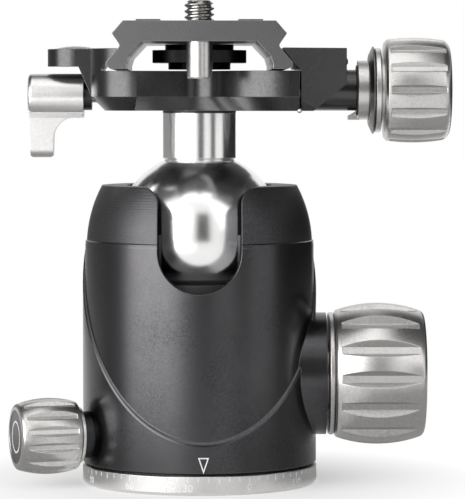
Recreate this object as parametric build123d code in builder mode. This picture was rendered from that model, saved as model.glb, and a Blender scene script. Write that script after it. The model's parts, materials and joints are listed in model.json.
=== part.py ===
from build123d import *
import os
from math import atan2, cos, degrees, radians, sin, sqrt, tan

os.makedirs("parts", exist_ok=True)

# Tripod ball head, in millimetres. Origin: centre of the underside of the pan base.
# +Z is up, the main lock knob is on +X and the front drop notch faces -Y.

# ---------------------------------------------------------------- clearances
running_gap = 0.05  # radial, shaft in its bore
slide_gap = 0.1  # radial, journals and pistons
seat_gap = 0.3  # between curved faces that only pass each other
fit_gap = 0.02  # radial, between two parts fixed together
face_gap = 0.05  # axial, between flat faces that meet
end_gap = 0.1  # axial, between faces that turn on each other
spare = 1.0  # how far a cutter runs past what it cuts

# ---------------------------------------------------------------- ball, liner and housing wall
ball_radius = 18.0
liner_gap = 0.1
liner_wall = 0.6
housing_wall = 5.95  # around the chamber, below the swept step
upper_in = 0.55  # depth of the swept step
body_chamfer = 0.3
liner_inner = ball_radius + liner_gap
liner_outer = liner_inner + liner_wall
seat_radius = liner_outer + seat_gap
body_radius = seat_radius + housing_wall
upper_radius = body_radius - upper_in

# ---------------------------------------------------------------- pan base
base_out = 0.05  # the pan base stands out past the housing
base_height = 4.0
base_edge = 0.6  # tapered lower edge, height
base_edge_in = 0.4
base_rim = 0.15
pan_line = 0.35  # dark line between the pan base and the housing
glide_in = 3.0  # middle of the glide ring, inside the rim of the pan base
glide_width = 2.5
glide_depth = 0.5
tripod_bore = 3.97  # 3/8"-16 thread, minor radius
bushing_radius = 7.0
bushing_length = 12.0
base_screw_circle = 12.0
base_screw_radius = 2.0
base_screw_head = 3.9
base_screw_sunk = 0.2
base_screw_length = 10.0
base_screw_count = 3
base_radius = body_radius + base_out
glide_radius = base_radius - glide_in

# ---------------------------------------------------------------- pan journal and chamber floor
journal_height = 11.2
brake_rise = 6.8  # axis of the pan lock above the pan base
brake_groove = 2.0
neck_radius = 8.0
floor_lift = 0.2  # the chamber floor above the journal
floor_thickness = 4.2
nut_radius = 10.5
nut_height = 1.7
journal_top = base_height + journal_height
brake_height = base_height + brake_rise
floor_bottom = journal_top + floor_lift
floor_top = floor_bottom + floor_thickness
nut_bottom = floor_top - nut_height - end_gap

# ---------------------------------------------------------------- liner and ball lock
liner_top = 1.0  # above the centre of the ball
liner_window = 8.6  # half width of the liner's opening for the stem
lock_rise = 3.5  # axis of the main lock knob above the chamber floor
wedge_slope = 0.158
wedge_width = 16.0
wedge_start = -10.0
wedge_end = 9.0
wedge_low = 7.3  # height of the wedge's low end above the chamber floor
cup_floor = 2.5
cup_pad = 14.0
cup_pad_height = 2.47
cup_drop_from_centre = 9.4  # rim of the cup below the centre of the ball
lock_height = floor_top + lock_rise
wedge_root = floor_top + wedge_low
pad_level = wedge_root - wedge_slope * wedge_start + face_gap  # foot of the cup, at its middle
cup_bottom = pad_level + cup_pad_height
ball_height = cup_bottom + cup_floor + seat_radius
cup_rim = ball_height - cup_drop_from_centre

# ---------------------------------------------------------------- housing, heights and collar
body_bottom = base_height + pan_line
step_drop = 7.65  # of the swept step below the groove, at the middle of the housing
step_slope = 1.32
step_turn = 1.84  # degrees, of the step's lowest point towards +X
step_chamfer = 0.22
groove_drop = 1.5  # below the centre of the ball
groove_depth = 0.6
groove_width = 0.7
groove_lip = 0.2
collar_insets = (0.89, 1.9, 4.15)  # foot, middle and top of the collar, inside the housing
collar_mid_rise = 6.1
collar_height = 11.6
opening_radius = 15.5
notch_half_width = 8.75
notch_drop = 2.2  # centre of the notch's round bottom, below the centre of the ball
notch_corner = 3.4
groove_bottom = ball_height - groove_drop
step_height = groove_bottom - step_drop
collar_bottom = groove_bottom + groove_width + groove_lip
collar_foot_radius, collar_mid_radius, collar_top_radius = (body_radius - run for run in collar_insets)
collar_mid = collar_bottom + collar_mid_rise
housing_top = collar_bottom + collar_height
notch_centre = ball_height - notch_drop

# ---------------------------------------------------------------- stem
stem_radius = 7.8
stem_reach = 26.4  # above the centre of the ball
stem_relief = 0.35  # turned relief at the foot of the stem
stem_relief_height = 0.6
stem_washer_height = 0.5
spigot_radius = 6.0
spigot_height = 5.2
spigot_groove = 0.9  # half width of the groove that the brake plug enters
spigot_groove_depth = 0.8
stem_top = ball_height + stem_reach
stem_foot = ball_height + sqrt(ball_radius**2 - stem_radius**2)
spigot_top = stem_top + spigot_height

# ---------------------------------------------------------------- main lock knob
flute_count = 14
flute_floor = 1.5
flute_angle = 42.0
lock_boss_radius = 13.05
lock_boss_out = 2.05  # past the side of the housing
lock_bush_radius = 6.0
lock_screw_radius = 3.0
lock_screw_grip = 12.0  # length of the screw inside the knob
lock_neck_radius = 7.7
lock_neck_length = 0.45
lock_ring_radius = 13.1
lock_ring_length = 1.2
lock_knob_gap = 0.15
lock_knob_length = 19.2
lock_knob_radii = (13.5, 15.1, 13.2)
lock_knob_corner = 1.5
lock_knob_foot = 9.0
lock_flute_radius = 13.7
lock_flute_length = 16.7
lock_cap_depth = 1.5
lock_cap_rim = 3.5  # wall of the knob around its cap
cap_sunk = 0.1
ring_edge = 0.25
lock_boss_end = body_radius + lock_boss_out
neck_end = lock_boss_end + lock_neck_length
lock_ring_end = neck_end + lock_ring_length
lock_knob_start = lock_ring_end + lock_knob_gap

# ---------------------------------------------------------------- pan lock knob
pan_axis_turn = 17.0  # the pan lock points to -X, turned this far to -Y
pan_bush_radius = 4.9
pan_bush_out = 1.5  # past the pan base
pan_screw_radius = 2.5
pan_screw_grip = 8.0
pan_ring_radius = 5.9
pan_ring_length = 0.7
pan_knob_gap = 0.3
pan_knob_length = 13.0
pan_knob_radii = (7.1, 8.0, 6.8)
pan_knob_corner = 0.8
pan_knob_foot = 4.2
pan_flute_radius = 7.15
pan_flute_length = 11.0
pan_flute_floor = 0.9
pan_cap_depth = 1.2
pan_cap_rim = 1.2
shoe_flat = 0.4
shoe_in_bush = 2.2
pan_bush_end = base_radius + pan_bush_out
pan_ring_end = pan_bush_end + pan_ring_length
pan_knob_start = pan_ring_end + pan_knob_gap

# ---------------------------------------------------------------- clamp
clamp_height = 8.3  # underside to channel floor
jaw_height = 4.7  # above the channel floor
clamp_left = -22.8
clamp_right = 20.5
clamp_half_length = 26.0
clamp_bevel = 2.9
clamp_corner = 9.8
end_lobe_radius = 15.6  # rounded right-hand part of each end
end_lobe_x = 18.3
hollow_radius = 4.6  # hollow in each end, beside the stop pin
hollow_x = -0.7
end_slope = 24.0  # degrees, of the straight left-hand part of each end
jaw_root = 20.4  # half width at the foot of the dovetail flanks
jaw_root_rise = 0.5
jaw_lip = 17.2
jaw_lip_drop = 0.4
wing_radius = 6.0
wing_out = 3.5  # centre of the wing, left of the clamp
wing_thickness = 3.7
wing_web = 2.8
wing_arc_radius = 8.4
wing_arc_out = 8.7
wing_arc_drop = 2.3  # below the lever's axis
level_radius = 4.7
level_depth = 3.0
level_dome = 0.7
level_wall = 0.7
level_window = 0.3
bolt_radius = 2.5
bolt_head_radius = 4.6
bolt_head_height = 1.8
bolt_length = 16.0
bolt_key_radius = 2.3
bolt_key_depth = 1.3
washer_radius = 8.5
washer_height = 1.0
well_radius = 9.0
well_drop = 0.2
clamp_bottom = stem_top + stem_washer_height
bevel_top = clamp_bottom + clamp_bevel
clamp_floor = clamp_bottom + clamp_height
jaw_top = clamp_floor + jaw_height
jaw_root_height = clamp_floor + jaw_root_rise
jaw_lip_height = jaw_top - jaw_lip_drop
wing_x = clamp_left - wing_out
wing_bottom = jaw_top - wing_thickness

# ---------------------------------------------------------------- clamp pan-lock lever
lever_rise = 3.1  # axis above the underside of the clamp
lever_hub_radius = 4.7
lever_off_clamp = 1.8  # inner face of the hub, left of the clamp
lever_hub_length = 11.8
lever_hub_fillet = 0.8
lever_drop = 13.1  # tip below the axis
lever_heel = (1.2, 0.9)  # step at the inner foot of the hub
lever_throat = (5.2, 1.3)  # middle of the round under the hub
lever_blade = (6.4, 4.6)  # where the round meets the blade, above the tip
lever_tail = (6.5, 11.3)  # the blade's two faces, left of the hub's inner face
lever_tip_edge = (0.5, 0.4)
lever_tail_width = 6.4
lever_tip_width = 5.0
lever_tip_round = 2.0
lever_screw_radius = 1.45
lever_screw_grip = 5.7
lever_collar_wall = 1.6
lever_clear = 0.4
plug_start = -9.0
plug_reach = 0.25  # nose of the brake plug inside the spigot's groove
plug_nose = 0.4
plug_nose_radius = 0.5
lever_height = clamp_bottom + lever_rise
lever_inner = clamp_left - lever_off_clamp
lever_outer = lever_inner - lever_hub_length
lever_tip = lever_height - lever_drop

# ---------------------------------------------------------------- moving jaw
moving_jaw_gap = 0.4
moving_jaw_length = 9.6
moving_jaw_in = 2.0  # front corner of the inner face, inside the end of the clamp
moving_jaw_taper = 4.7  # lost from the half width at the outer face
moving_jaw_bevel = 2.2
moving_jaw_cut = (2.6, 5.6)  # diagonal cut below the jaw: run and rise
screw_rise = 4.3  # axis of the clamp screw above the underside of the clamp
jaw_boss_radius = 4.35
jaw_boss_out = 2.9
draw_radius = 2.5
draw_start = 10.0
draw_grip = 3.7  # length of the screw inside the knob
draw_chamfer = 0.5
guide_offset = 15.0
guide_radius = 1.5
guide_start = 11.0
guide_short = 3.6  # pins end this far inside the jaw's outer face
guide_end_gap = 0.5
spring_radius = 2.6
spring_wire = 0.4
spring_well = 6.0
spring_turns = 5
button_drop = 2.6
button_radius = 0.8
button_in = 1.9
button_out = 1.2
jaw_inner = clamp_right + moving_jaw_gap
moving_jaw_outer = jaw_inner + moving_jaw_length
moving_jaw_front = clamp_half_length - moving_jaw_in
screw_height = clamp_bottom + screw_rise
button_height = jaw_top - button_drop
jaw_boss_end = moving_jaw_outer + jaw_boss_out
guide_end = moving_jaw_outer - guide_short

# ---------------------------------------------------------------- clamp knob
screw_washer_length = 0.3
screw_washer_radius = 5.3
safety_radius = 6.3
safety_length = 2.3
safety_tab_gap = 1.1  # between the jaw and the tip of the collar's tab
safety_tab_wall = 0.8
safety_tab_rise = 0.9
safety_tab_width = 3.6
ring_dark_radius = 9.3
ring_dark_foot = 7.6
ring_dark_length = 1.05
ring_light_radius = 9.0
ring_light_length = 1.4
clamp_knob_gap = 0.7
clamp_knob_length = 14.0
clamp_knob_radii = (10.7, 11.15, 10.4)
clamp_knob_corner = 2.2
clamp_knob_bore = 11.0
clamp_flute_radius = 10.35
clamp_flute_length = 11.7
clamp_flute_floor = 1.05
clamp_knob_neck = 7.0
safety_start = jaw_boss_end + screw_washer_length
safety_end = safety_start + safety_length
ring_dark_start = safety_end + face_gap
ring_dark_end = ring_dark_start + ring_dark_length
ring_light_start = ring_dark_end + end_gap
ring_light_end = ring_light_start + ring_light_length
clamp_knob_start = ring_light_end + clamp_knob_gap
draw_end = clamp_knob_start + draw_grip

# ---------------------------------------------------------------- quick-release plate
plate_half_length = 30.0
plate_lift = 0.3  # above the channel floor
plate_height = 9.8
foot_bottom_half = 18.1
foot_half = 19.0
foot_rises = (0.6, 1.4)
neck_half = 16.1
neck_rise = 4.7
neck_fillet = 0.7
lobe_half = 17.8
lobe_rise = 7.2
top_half = 15.55
window_half = 15.0
window_foot = 1.0
window_shoulder_half = 14.5
window_shoulder_rise = 2.6
window_top_half = 11.7
window_rise = 5.6
pin_radius = 2.6
pin_in = 3.0  # axis of each stop pin, inside the plate's end
pin_hang = 2.0  # below the plate
pin_chamfer = 0.3
pin_spigot_radius = 1.5
plate_skin = 1.0  # left above the pins' bores
pad_inner = 8.0
pad_outer = 13.0
pad_proud = 0.35
pad_depth = 1.0
pad_in = 3.0  # end of each pad, inside the plate's end
plate_bottom = clamp_floor + plate_lift
plate_top = plate_bottom + plate_height
window_top = plate_bottom + window_rise
pin_offset = plate_half_length - pin_in
pad_half_length = plate_half_length - pad_in

# ---------------------------------------------------------------- camera screw
stud_radius = 3.175  # 1/4"-20
stud_length = 5.0
stud_chamfer = 0.7
stud_shank_radius = 2.9  # relieved, so that the screw stays captive
screw_flange_radius = 7.3
screw_flange_height = 1.2
screw_flange_gap = 0.2
screw_core_radius = 6.65
screw_foot_rise = 0.1
ring_half_width = 9.95
ring_reach = 9.3
ring_corner = 5.0
ring_rise = 1.5
ring_height = 2.65
ring_pin_radius = 0.8
ring_pin_length = 1.5
coin_slot_width = 1.4
coin_slot_depth = 0.9
flange_top = window_top - screw_flange_gap
flange_bottom = flange_top - screw_flange_height
screw_foot = plate_bottom + screw_foot_rise
ring_bottom = plate_bottom + ring_rise


# ---------------------------------------------------------------- shared shapes
def along(plane):
    """The plane through a part's axis: local X runs along the axis, local Y is the radius."""
    return Plane(origin=plane.origin, x_dir=plane.z_dir, z_dir=plane.x_dir)


def turned(plane, outline, mode=Mode.ADD):
    """Revolve a closed outline of (along the axis, radius) points about the plane's normal."""
    with BuildSketch(along(plane)) as section:
        with BuildLine():
            Polyline(*outline, close=True)
        make_face()
    revolve(section.sketch, axis=Axis(plane.origin, plane.z_dir), mode=mode)


def drum(plane, start, end, radius, inner=0.0, mode=Mode.ADD):
    """A disc, ring or tube between two distances along the plane's normal."""
    with BuildSketch(plane.offset(start)) as section:
        Circle(radius)
        if inner:
            Circle(inner, mode=Mode.SUBTRACT)
    extrude(section.sketch, amount=end - start, mode=mode)


def knob_body(plane, start, length, radii, corner, flute_radius, flute_length, floor, bore, depth):
    """A barrel-shaped grip with straight flat-floored flutes and a blind bore for its screw."""
    near, middle, far = radii
    with BuildSketch(along(plane)) as section:
        with BuildLine():
            Polyline((start + length, 0), (start, 0), (start, near))
            ThreePointArc((start, near), (start + length / 2, middle), (start + length, far))
            Line((start + length, far), (start + length, 0))
        make_face()
    revolve(section.sketch, axis=Axis(plane.origin, plane.z_dir))
    rims = edges().filter_by(GeomType.CIRCLE).sort_by(Axis(plane.origin, plane.z_dir))
    fillet(rims[-1], corner)
    chamfer(rims[0], corner / 4)
    rise = middle - flute_radius + spare
    mouth = floor + 2 * rise * tan(radians(flute_angle))
    with BuildSketch(plane.offset(start + (length - flute_length) / 2)) as flutes:
        with PolarLocations(flute_radius, flute_count):
            Trapezoid(mouth, rise, 90 - flute_angle, rotation=90, align=(Align.CENTER, Align.MAX))
    extrude(flutes.sketch, amount=flute_length, mode=Mode.SUBTRACT)
    drum(plane, start, start + depth, bore, mode=Mode.SUBTRACT)


def at(x, y, z):
    """A horizontal plane at a point."""
    return Plane(origin=(x, y, z))


def axis_x(height, y=0.0):
    """A plane whose normal is +X, at a height."""
    return Plane(origin=(0, y, height), x_dir=(0, 1, 0), z_dir=(1, 0, 0))


lock_plane = axis_x(lock_height)
screw_plane = axis_x(screw_height)
lever_plane = axis_x(lever_height)
pan_direction = (-cos(radians(pan_axis_turn)), -sin(radians(pan_axis_turn)), 0)
ring_axis = axis_x(ring_bottom + ring_height / 2)
pan_plane = Plane(origin=(0, 0, brake_height), x_dir=(0, 0, 1), z_dir=pan_direction)

# ================================================================ pan base
bush_hole = bushing_radius + fit_gap
with BuildPart() as base_plate:
    turned(
        Plane.XY,
        (
            (0, bush_hole),
            (0, base_radius - base_edge_in),
            (base_edge, base_radius),
            (base_height - base_rim, base_radius),
            (base_height, base_radius - base_rim),
            (base_height, bush_hole),
        ),
    )
    glide_bottom = base_height - glide_depth
    drum(Plane.XY, glide_bottom, base_height, glide_radius + glide_width / 2 + slide_gap,
         glide_radius - glide_width / 2 - slide_gap, Mode.SUBTRACT)
    with Locations(Plane.XY.rotated((180, 0, 0))):
        with PolarLocations(base_screw_circle, base_screw_count):
            CounterSinkHole(base_screw_radius + slide_gap, base_screw_head + slide_gap)
base_plate.part.label = "base_plate"

with BuildPart() as pan_glide:
    drum(Plane.XY, glide_bottom, body_bottom, glide_radius + glide_width / 2,
         glide_radius - glide_width / 2)
pan_glide.part.label = "pan_glide"

journal_radius = seat_radius - slide_gap
with BuildPart() as pan_journal:
    turned(
        Plane.XY,
        (
            (base_height, bush_hole),
            (base_height, journal_radius),
            (brake_height - brake_groove, journal_radius),
            (brake_height, journal_radius - brake_groove),
            (brake_height + brake_groove, journal_radius),
            (journal_top, journal_radius),
            (journal_top, neck_radius),
            (floor_top - end_gap, neck_radius),
            (floor_top - end_gap, 0),
            (bushing_length, 0),
            (bushing_length, bush_hole),
        ),
    )
    with Locations(at(0, 0, base_height)):
        with PolarLocations(base_screw_circle, base_screw_count):
            Cylinder(base_screw_radius + fit_gap, base_screw_length - base_height + spare,
                     align=(Align.CENTER, Align.CENTER, Align.MIN), mode=Mode.SUBTRACT)
pan_journal.part.label = "pan_journal"

with BuildPart() as tripod_bushing:
    drum(Plane.XY, 0, bushing_length, bushing_radius, tripod_bore)
tripod_bushing.part.label = "tripod_bushing"

screw_cone = base_screw_head - base_screw_radius
with BuildPart() as base_screws:
    for place in PolarLocations(base_screw_circle, base_screw_count).locations:
        turned(
            Plane(place),
            (
                (base_screw_sunk, 0),
                (base_screw_sunk, base_screw_head - base_screw_sunk),
                (base_screw_sunk + screw_cone, base_screw_radius),
                (base_screw_length, base_screw_radius),
                (base_screw_length, 0),
            ),
        )
base_screws.part.label = "base_screws"

with BuildPart() as pan_nut:
    drum(Plane.XY, nut_bottom, nut_bottom + nut_height, nut_radius, neck_radius + fit_gap)
pan_nut.part.label = "pan_nut"

# ================================================================ housing
step_angle = radians(step_turn)
step_plane = Plane(
    origin=(0, 0, 0), x_dir=(-sin(step_angle), cos(step_angle), 0),
    z_dir=(cos(step_angle), sin(step_angle), 0),
)
with BuildPart() as relief:
    drum(Plane.XY, body_bottom, groove_bottom, body_radius + spare, upper_radius)
    with BuildSketch(step_plane) as front_of_step:
        with BuildLine():
            reach = body_radius + 2 * spare
            Polyline(
                (-reach, step_height - step_slope * reach),
                (reach, step_height + step_slope * reach),
                (-reach, step_height + step_slope * reach),
                close=True,
            )
        make_face()
    extrude(front_of_step.sketch, amount=reach, both=True, mode=Mode.INTERSECT)

with BuildPart() as housing:
    with BuildSketch(Plane.XZ) as wall:
        with BuildLine():
            Polyline(
                (collar_top_radius, housing_top),
                (0, housing_top),
                (0, body_bottom),
                (body_radius - body_chamfer, body_bottom),
                (body_radius, body_bottom + body_chamfer),
                (body_radius, groove_bottom),
                (body_radius - groove_depth, groove_bottom + groove_lip / 2),
                (body_radius - groove_depth, groove_bottom + groove_width),
                (collar_foot_radius, collar_bottom),
            )
            ThreePointArc(
                (collar_foot_radius, collar_bottom),
                (collar_mid_radius, collar_mid),
                (collar_top_radius, housing_top),
            )
        make_face()
    revolve(axis=Axis.Z)
    add(relief.part, mode=Mode.SUBTRACT)
    step_edges = edges().filter_by(GeomType.ELLIPSE).sort_by(SortBy.LENGTH)
    chamfer(step_edges[-1], step_chamfer)
    drum(lock_plane, 0, lock_boss_end, lock_boss_radius)
    with BuildSketch(Plane.XZ) as chamber:
        with BuildLine():
            Polyline(
                (0, ball_height + seat_radius), (0, body_bottom), (seat_radius, body_bottom),
                (seat_radius, ball_height),
            )
            CenterArc((0, ball_height), seat_radius, 0, 90)
        make_face()
    revolve(chamber.sketch, axis=Axis.Z, mode=Mode.SUBTRACT)
    drum(Plane.XY, ball_height, housing_top, opening_radius, mode=Mode.SUBTRACT)
    notch_top = housing_top - notch_corner
    with BuildSketch(Plane.XZ) as notch:
        with BuildLine():
            CenterArc((0, notch_centre), notch_half_width, 180, 180)
            Line((notch_half_width, notch_centre), (notch_half_width, notch_top))
            CenterArc((notch_half_width + notch_corner, notch_top), notch_corner, 180, -90)
            Polyline(
                (notch_half_width + notch_corner, housing_top),
                (-notch_half_width - notch_corner, housing_top),
            )
            CenterArc((-notch_half_width - notch_corner, notch_top), notch_corner, 90, -90)
            Line((-notch_half_width, notch_top), (-notch_half_width, notch_centre))
        make_face()
    extrude(notch.sketch, amount=base_radius + spare, both=True, mode=Mode.SUBTRACT)
    drum(lock_plane, 0, lock_boss_end, lock_bush_radius + fit_gap, mode=Mode.SUBTRACT)
    drum(pan_plane, 0, base_radius + spare, pan_bush_radius + fit_gap, mode=Mode.SUBTRACT)
housing.part.label = "housing"

with BuildPart() as chamber_floor:
    drum(Plane.XY, floor_bottom, floor_top, seat_radius - fit_gap, neck_radius + slide_gap)
    drum(Plane.XY, nut_bottom - end_gap, floor_top, nut_radius + slide_gap, mode=Mode.SUBTRACT)
chamber_floor.part.label = "chamber_floor"

with BuildPart() as lock_bush:
    drum(lock_plane, seat_radius + slide_gap, lock_boss_end - face_gap, lock_bush_radius,
         lock_screw_radius + running_gap)
lock_bush.part.label = "lock_bush"

pan_bush_inner = journal_radius + seat_gap
with BuildPart() as pan_bush:
    drum(pan_plane, pan_bush_inner, pan_bush_end, pan_bush_radius, pan_screw_radius + running_gap)
pan_bush.part.label = "pan_bush"

# ================================================================ ball lock
with BuildPart() as ball_cup:
    drum(Plane.XY, cup_bottom, cup_rim, seat_radius - slide_gap)
    with BuildSketch(Plane.XZ) as pad:
        with BuildLine():
            half = cup_pad / 2
            Polyline(
                (-half, cup_bottom), (-half, pad_level - wedge_slope * half),
                (half, pad_level + wedge_slope * half), (half, cup_bottom),
                close=True,
            )
        make_face()
    extrude(pad.sketch, amount=cup_pad / 2, both=True)
    with Locations((0, 0, ball_height)):
        Sphere(seat_radius, mode=Mode.SUBTRACT)
ball_cup.part.label = "ball_cup"

with BuildPart() as lock_wedge:
    with BuildSketch(Plane.XZ) as ramp:
        with BuildLine():
            Polyline(
                (wedge_start, floor_top + slide_gap), (wedge_start, wedge_root),
                (wedge_end, wedge_root + wedge_slope * (wedge_end - wedge_start)),
                (wedge_end, floor_top + slide_gap),
                close=True,
            )
        make_face()
    extrude(ramp.sketch, amount=wedge_width / 2, both=True)
lock_wedge.part.label = "lock_wedge"

# ================================================================ main lock knob
with BuildPart() as lock_screw:
    drum(lock_plane, wedge_end + face_gap, lock_knob_start + lock_screw_grip, lock_screw_radius)
    drum(lock_plane, lock_boss_end + fit_gap, neck_end, lock_neck_radius)
lock_screw.part.label = "lock_screw"

with BuildPart() as lock_ring:
    drum(lock_plane, neck_end, lock_ring_end, lock_ring_radius, lock_screw_radius + fit_gap)
    chamfer(edges().filter_by(GeomType.CIRCLE).group_by(SortBy.RADIUS)[-1], ring_edge)
lock_ring.part.label = "lock_ring"

lock_cap_start = lock_knob_start + lock_knob_length - lock_cap_depth
lock_cap_radius = lock_knob_radii[2] - lock_cap_rim
with BuildPart() as lock_knob:
    knob_body(lock_plane, lock_knob_start, lock_knob_length, lock_knob_radii, lock_knob_corner,
              lock_flute_radius, lock_flute_length, flute_floor, lock_screw_radius + fit_gap,
              lock_screw_grip + face_gap)
    drum(lock_plane, lock_cap_start, lock_cap_start + lock_cap_depth, lock_cap_radius,
         mode=Mode.SUBTRACT)
    drum(lock_plane, lock_ring_end, lock_knob_start, lock_knob_foot, lock_screw_radius + fit_gap)
lock_knob.part.label = "lock_knob"

with BuildPart() as lock_cap:
    drum(lock_plane, lock_cap_start, lock_cap_start + lock_cap_depth - cap_sunk,
         lock_cap_radius - fit_gap)
lock_cap.part.label = "lock_cap"

# ================================================================ pan lock knob
shoe_radius = pan_screw_radius - slide_gap
shoe_tip = journal_radius - brake_groove + shoe_flat + 1.5 * slide_gap
shoe_end = pan_bush_inner + shoe_in_bush
with BuildPart() as brake_shoe:
    turned(
        pan_plane,
        (
            (shoe_tip, 0),
            (shoe_tip, shoe_flat),
            (shoe_tip + shoe_radius - shoe_flat, shoe_radius),
            (shoe_end, shoe_radius),
            (shoe_end, 0),
        ),
    )
brake_shoe.part.label = "brake_shoe"

with BuildPart() as pan_screw:
    drum(pan_plane, shoe_end + face_gap, pan_knob_start + pan_screw_grip, pan_screw_radius)
pan_screw.part.label = "pan_screw"

with BuildPart() as pan_ring:
    drum(pan_plane, pan_bush_end + face_gap, pan_ring_end, pan_ring_radius,
         pan_screw_radius + fit_gap)
pan_ring.part.label = "pan_ring"

pan_cap_start = pan_knob_start + pan_knob_length - pan_cap_depth
pan_cap_radius = pan_knob_radii[2] - pan_cap_rim
with BuildPart() as pan_knob:
    knob_body(pan_plane, pan_knob_start, pan_knob_length, pan_knob_radii, pan_knob_corner,
              pan_flute_radius, pan_flute_length, pan_flute_floor, pan_screw_radius + fit_gap,
              pan_screw_grip + face_gap)
    drum(pan_plane, pan_cap_start, pan_cap_start + pan_cap_depth, pan_cap_radius,
         mode=Mode.SUBTRACT)
    drum(pan_plane, pan_ring_end, pan_knob_start, pan_knob_foot, pan_screw_radius + fit_gap)
pan_knob.part.label = "pan_knob"

with BuildPart() as pan_cap:
    drum(pan_plane, pan_cap_start, pan_cap_start + pan_cap_depth - cap_sunk,
         pan_cap_radius - fit_gap)
pan_cap.part.label = "pan_cap"

# ================================================================ ball, stem and liner
with BuildPart() as ball_stem:
    with Locations((0, 0, ball_height)):
        Sphere(ball_radius)
    drum(Plane.XY, ball_height, stem_top, stem_radius)
    turned(
        Plane.XY,
        (
            (stem_foot, stem_radius - stem_relief),
            (stem_foot, stem_radius + spare),
            (stem_foot + stem_relief_height, stem_radius + spare),
            (stem_foot + stem_relief_height, stem_radius),
            (stem_foot + stem_relief_height - stem_relief, stem_radius - stem_relief),
        ),
        Mode.SUBTRACT,
    )
    drum(Plane.XY, stem_top, spigot_top, spigot_radius)
    turned(
        Plane.XY,
        (
            (lever_height - spigot_groove, spigot_radius + slide_gap),
            (lever_height, spigot_radius - spigot_groove_depth),
            (lever_height + spigot_groove, spigot_radius + slide_gap),
        ),
        Mode.SUBTRACT,
    )
    drum(Plane.XY, spigot_top - bolt_length, spigot_top, bolt_radius + fit_gap,
         mode=Mode.SUBTRACT)
ball_stem.part.label = "ball_stem"

with BuildPart() as stem_washer:
    drum(Plane.XY, stem_top, clamp_bottom - face_gap, stem_radius, spigot_radius + fit_gap)
stem_washer.part.label = "stem_washer"

with BuildPart() as clamp_washer:
    drum(Plane.XY, spigot_top, spigot_top + washer_height, washer_radius, bolt_radius + fit_gap)
clamp_washer.part.label = "clamp_washer"

with BuildPart() as clamp_bolt:
    head_bottom = spigot_top + washer_height
    drum(Plane.XY, spigot_top - bolt_length + spare, head_bottom, bolt_radius)
    drum(Plane.XY, head_bottom, head_bottom + bolt_head_height, bolt_head_radius)
    with BuildSketch(Plane.XY.offset(head_bottom + bolt_head_height)) as key:
        RegularPolygon(bolt_key_radius, 6)
    extrude(key.sketch, amount=-bolt_key_depth, mode=Mode.SUBTRACT)
clamp_bolt.part.label = "clamp_bolt"

with BuildPart() as ball_liner:
    with Locations((0, 0, ball_height)):
        Sphere(liner_outer)
        Sphere(liner_inner, mode=Mode.SUBTRACT)
    with BuildSketch(Plane.XY.offset(ball_height + liner_top)) as cut:
        Circle(liner_outer + spare)
    extrude(cut.sketch, amount=liner_outer, mode=Mode.SUBTRACT)
    with BuildSketch(Plane.XZ) as window:
        with Locations((0, ball_height - liner_window)):
            Rectangle(2 * liner_window, ball_height, align=(Align.CENTER, Align.MIN))
    extrude(window.sketch, amount=liner_outer + spare, both=True, mode=Mode.SUBTRACT)
ball_liner.part.label = "ball_liner"

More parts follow.
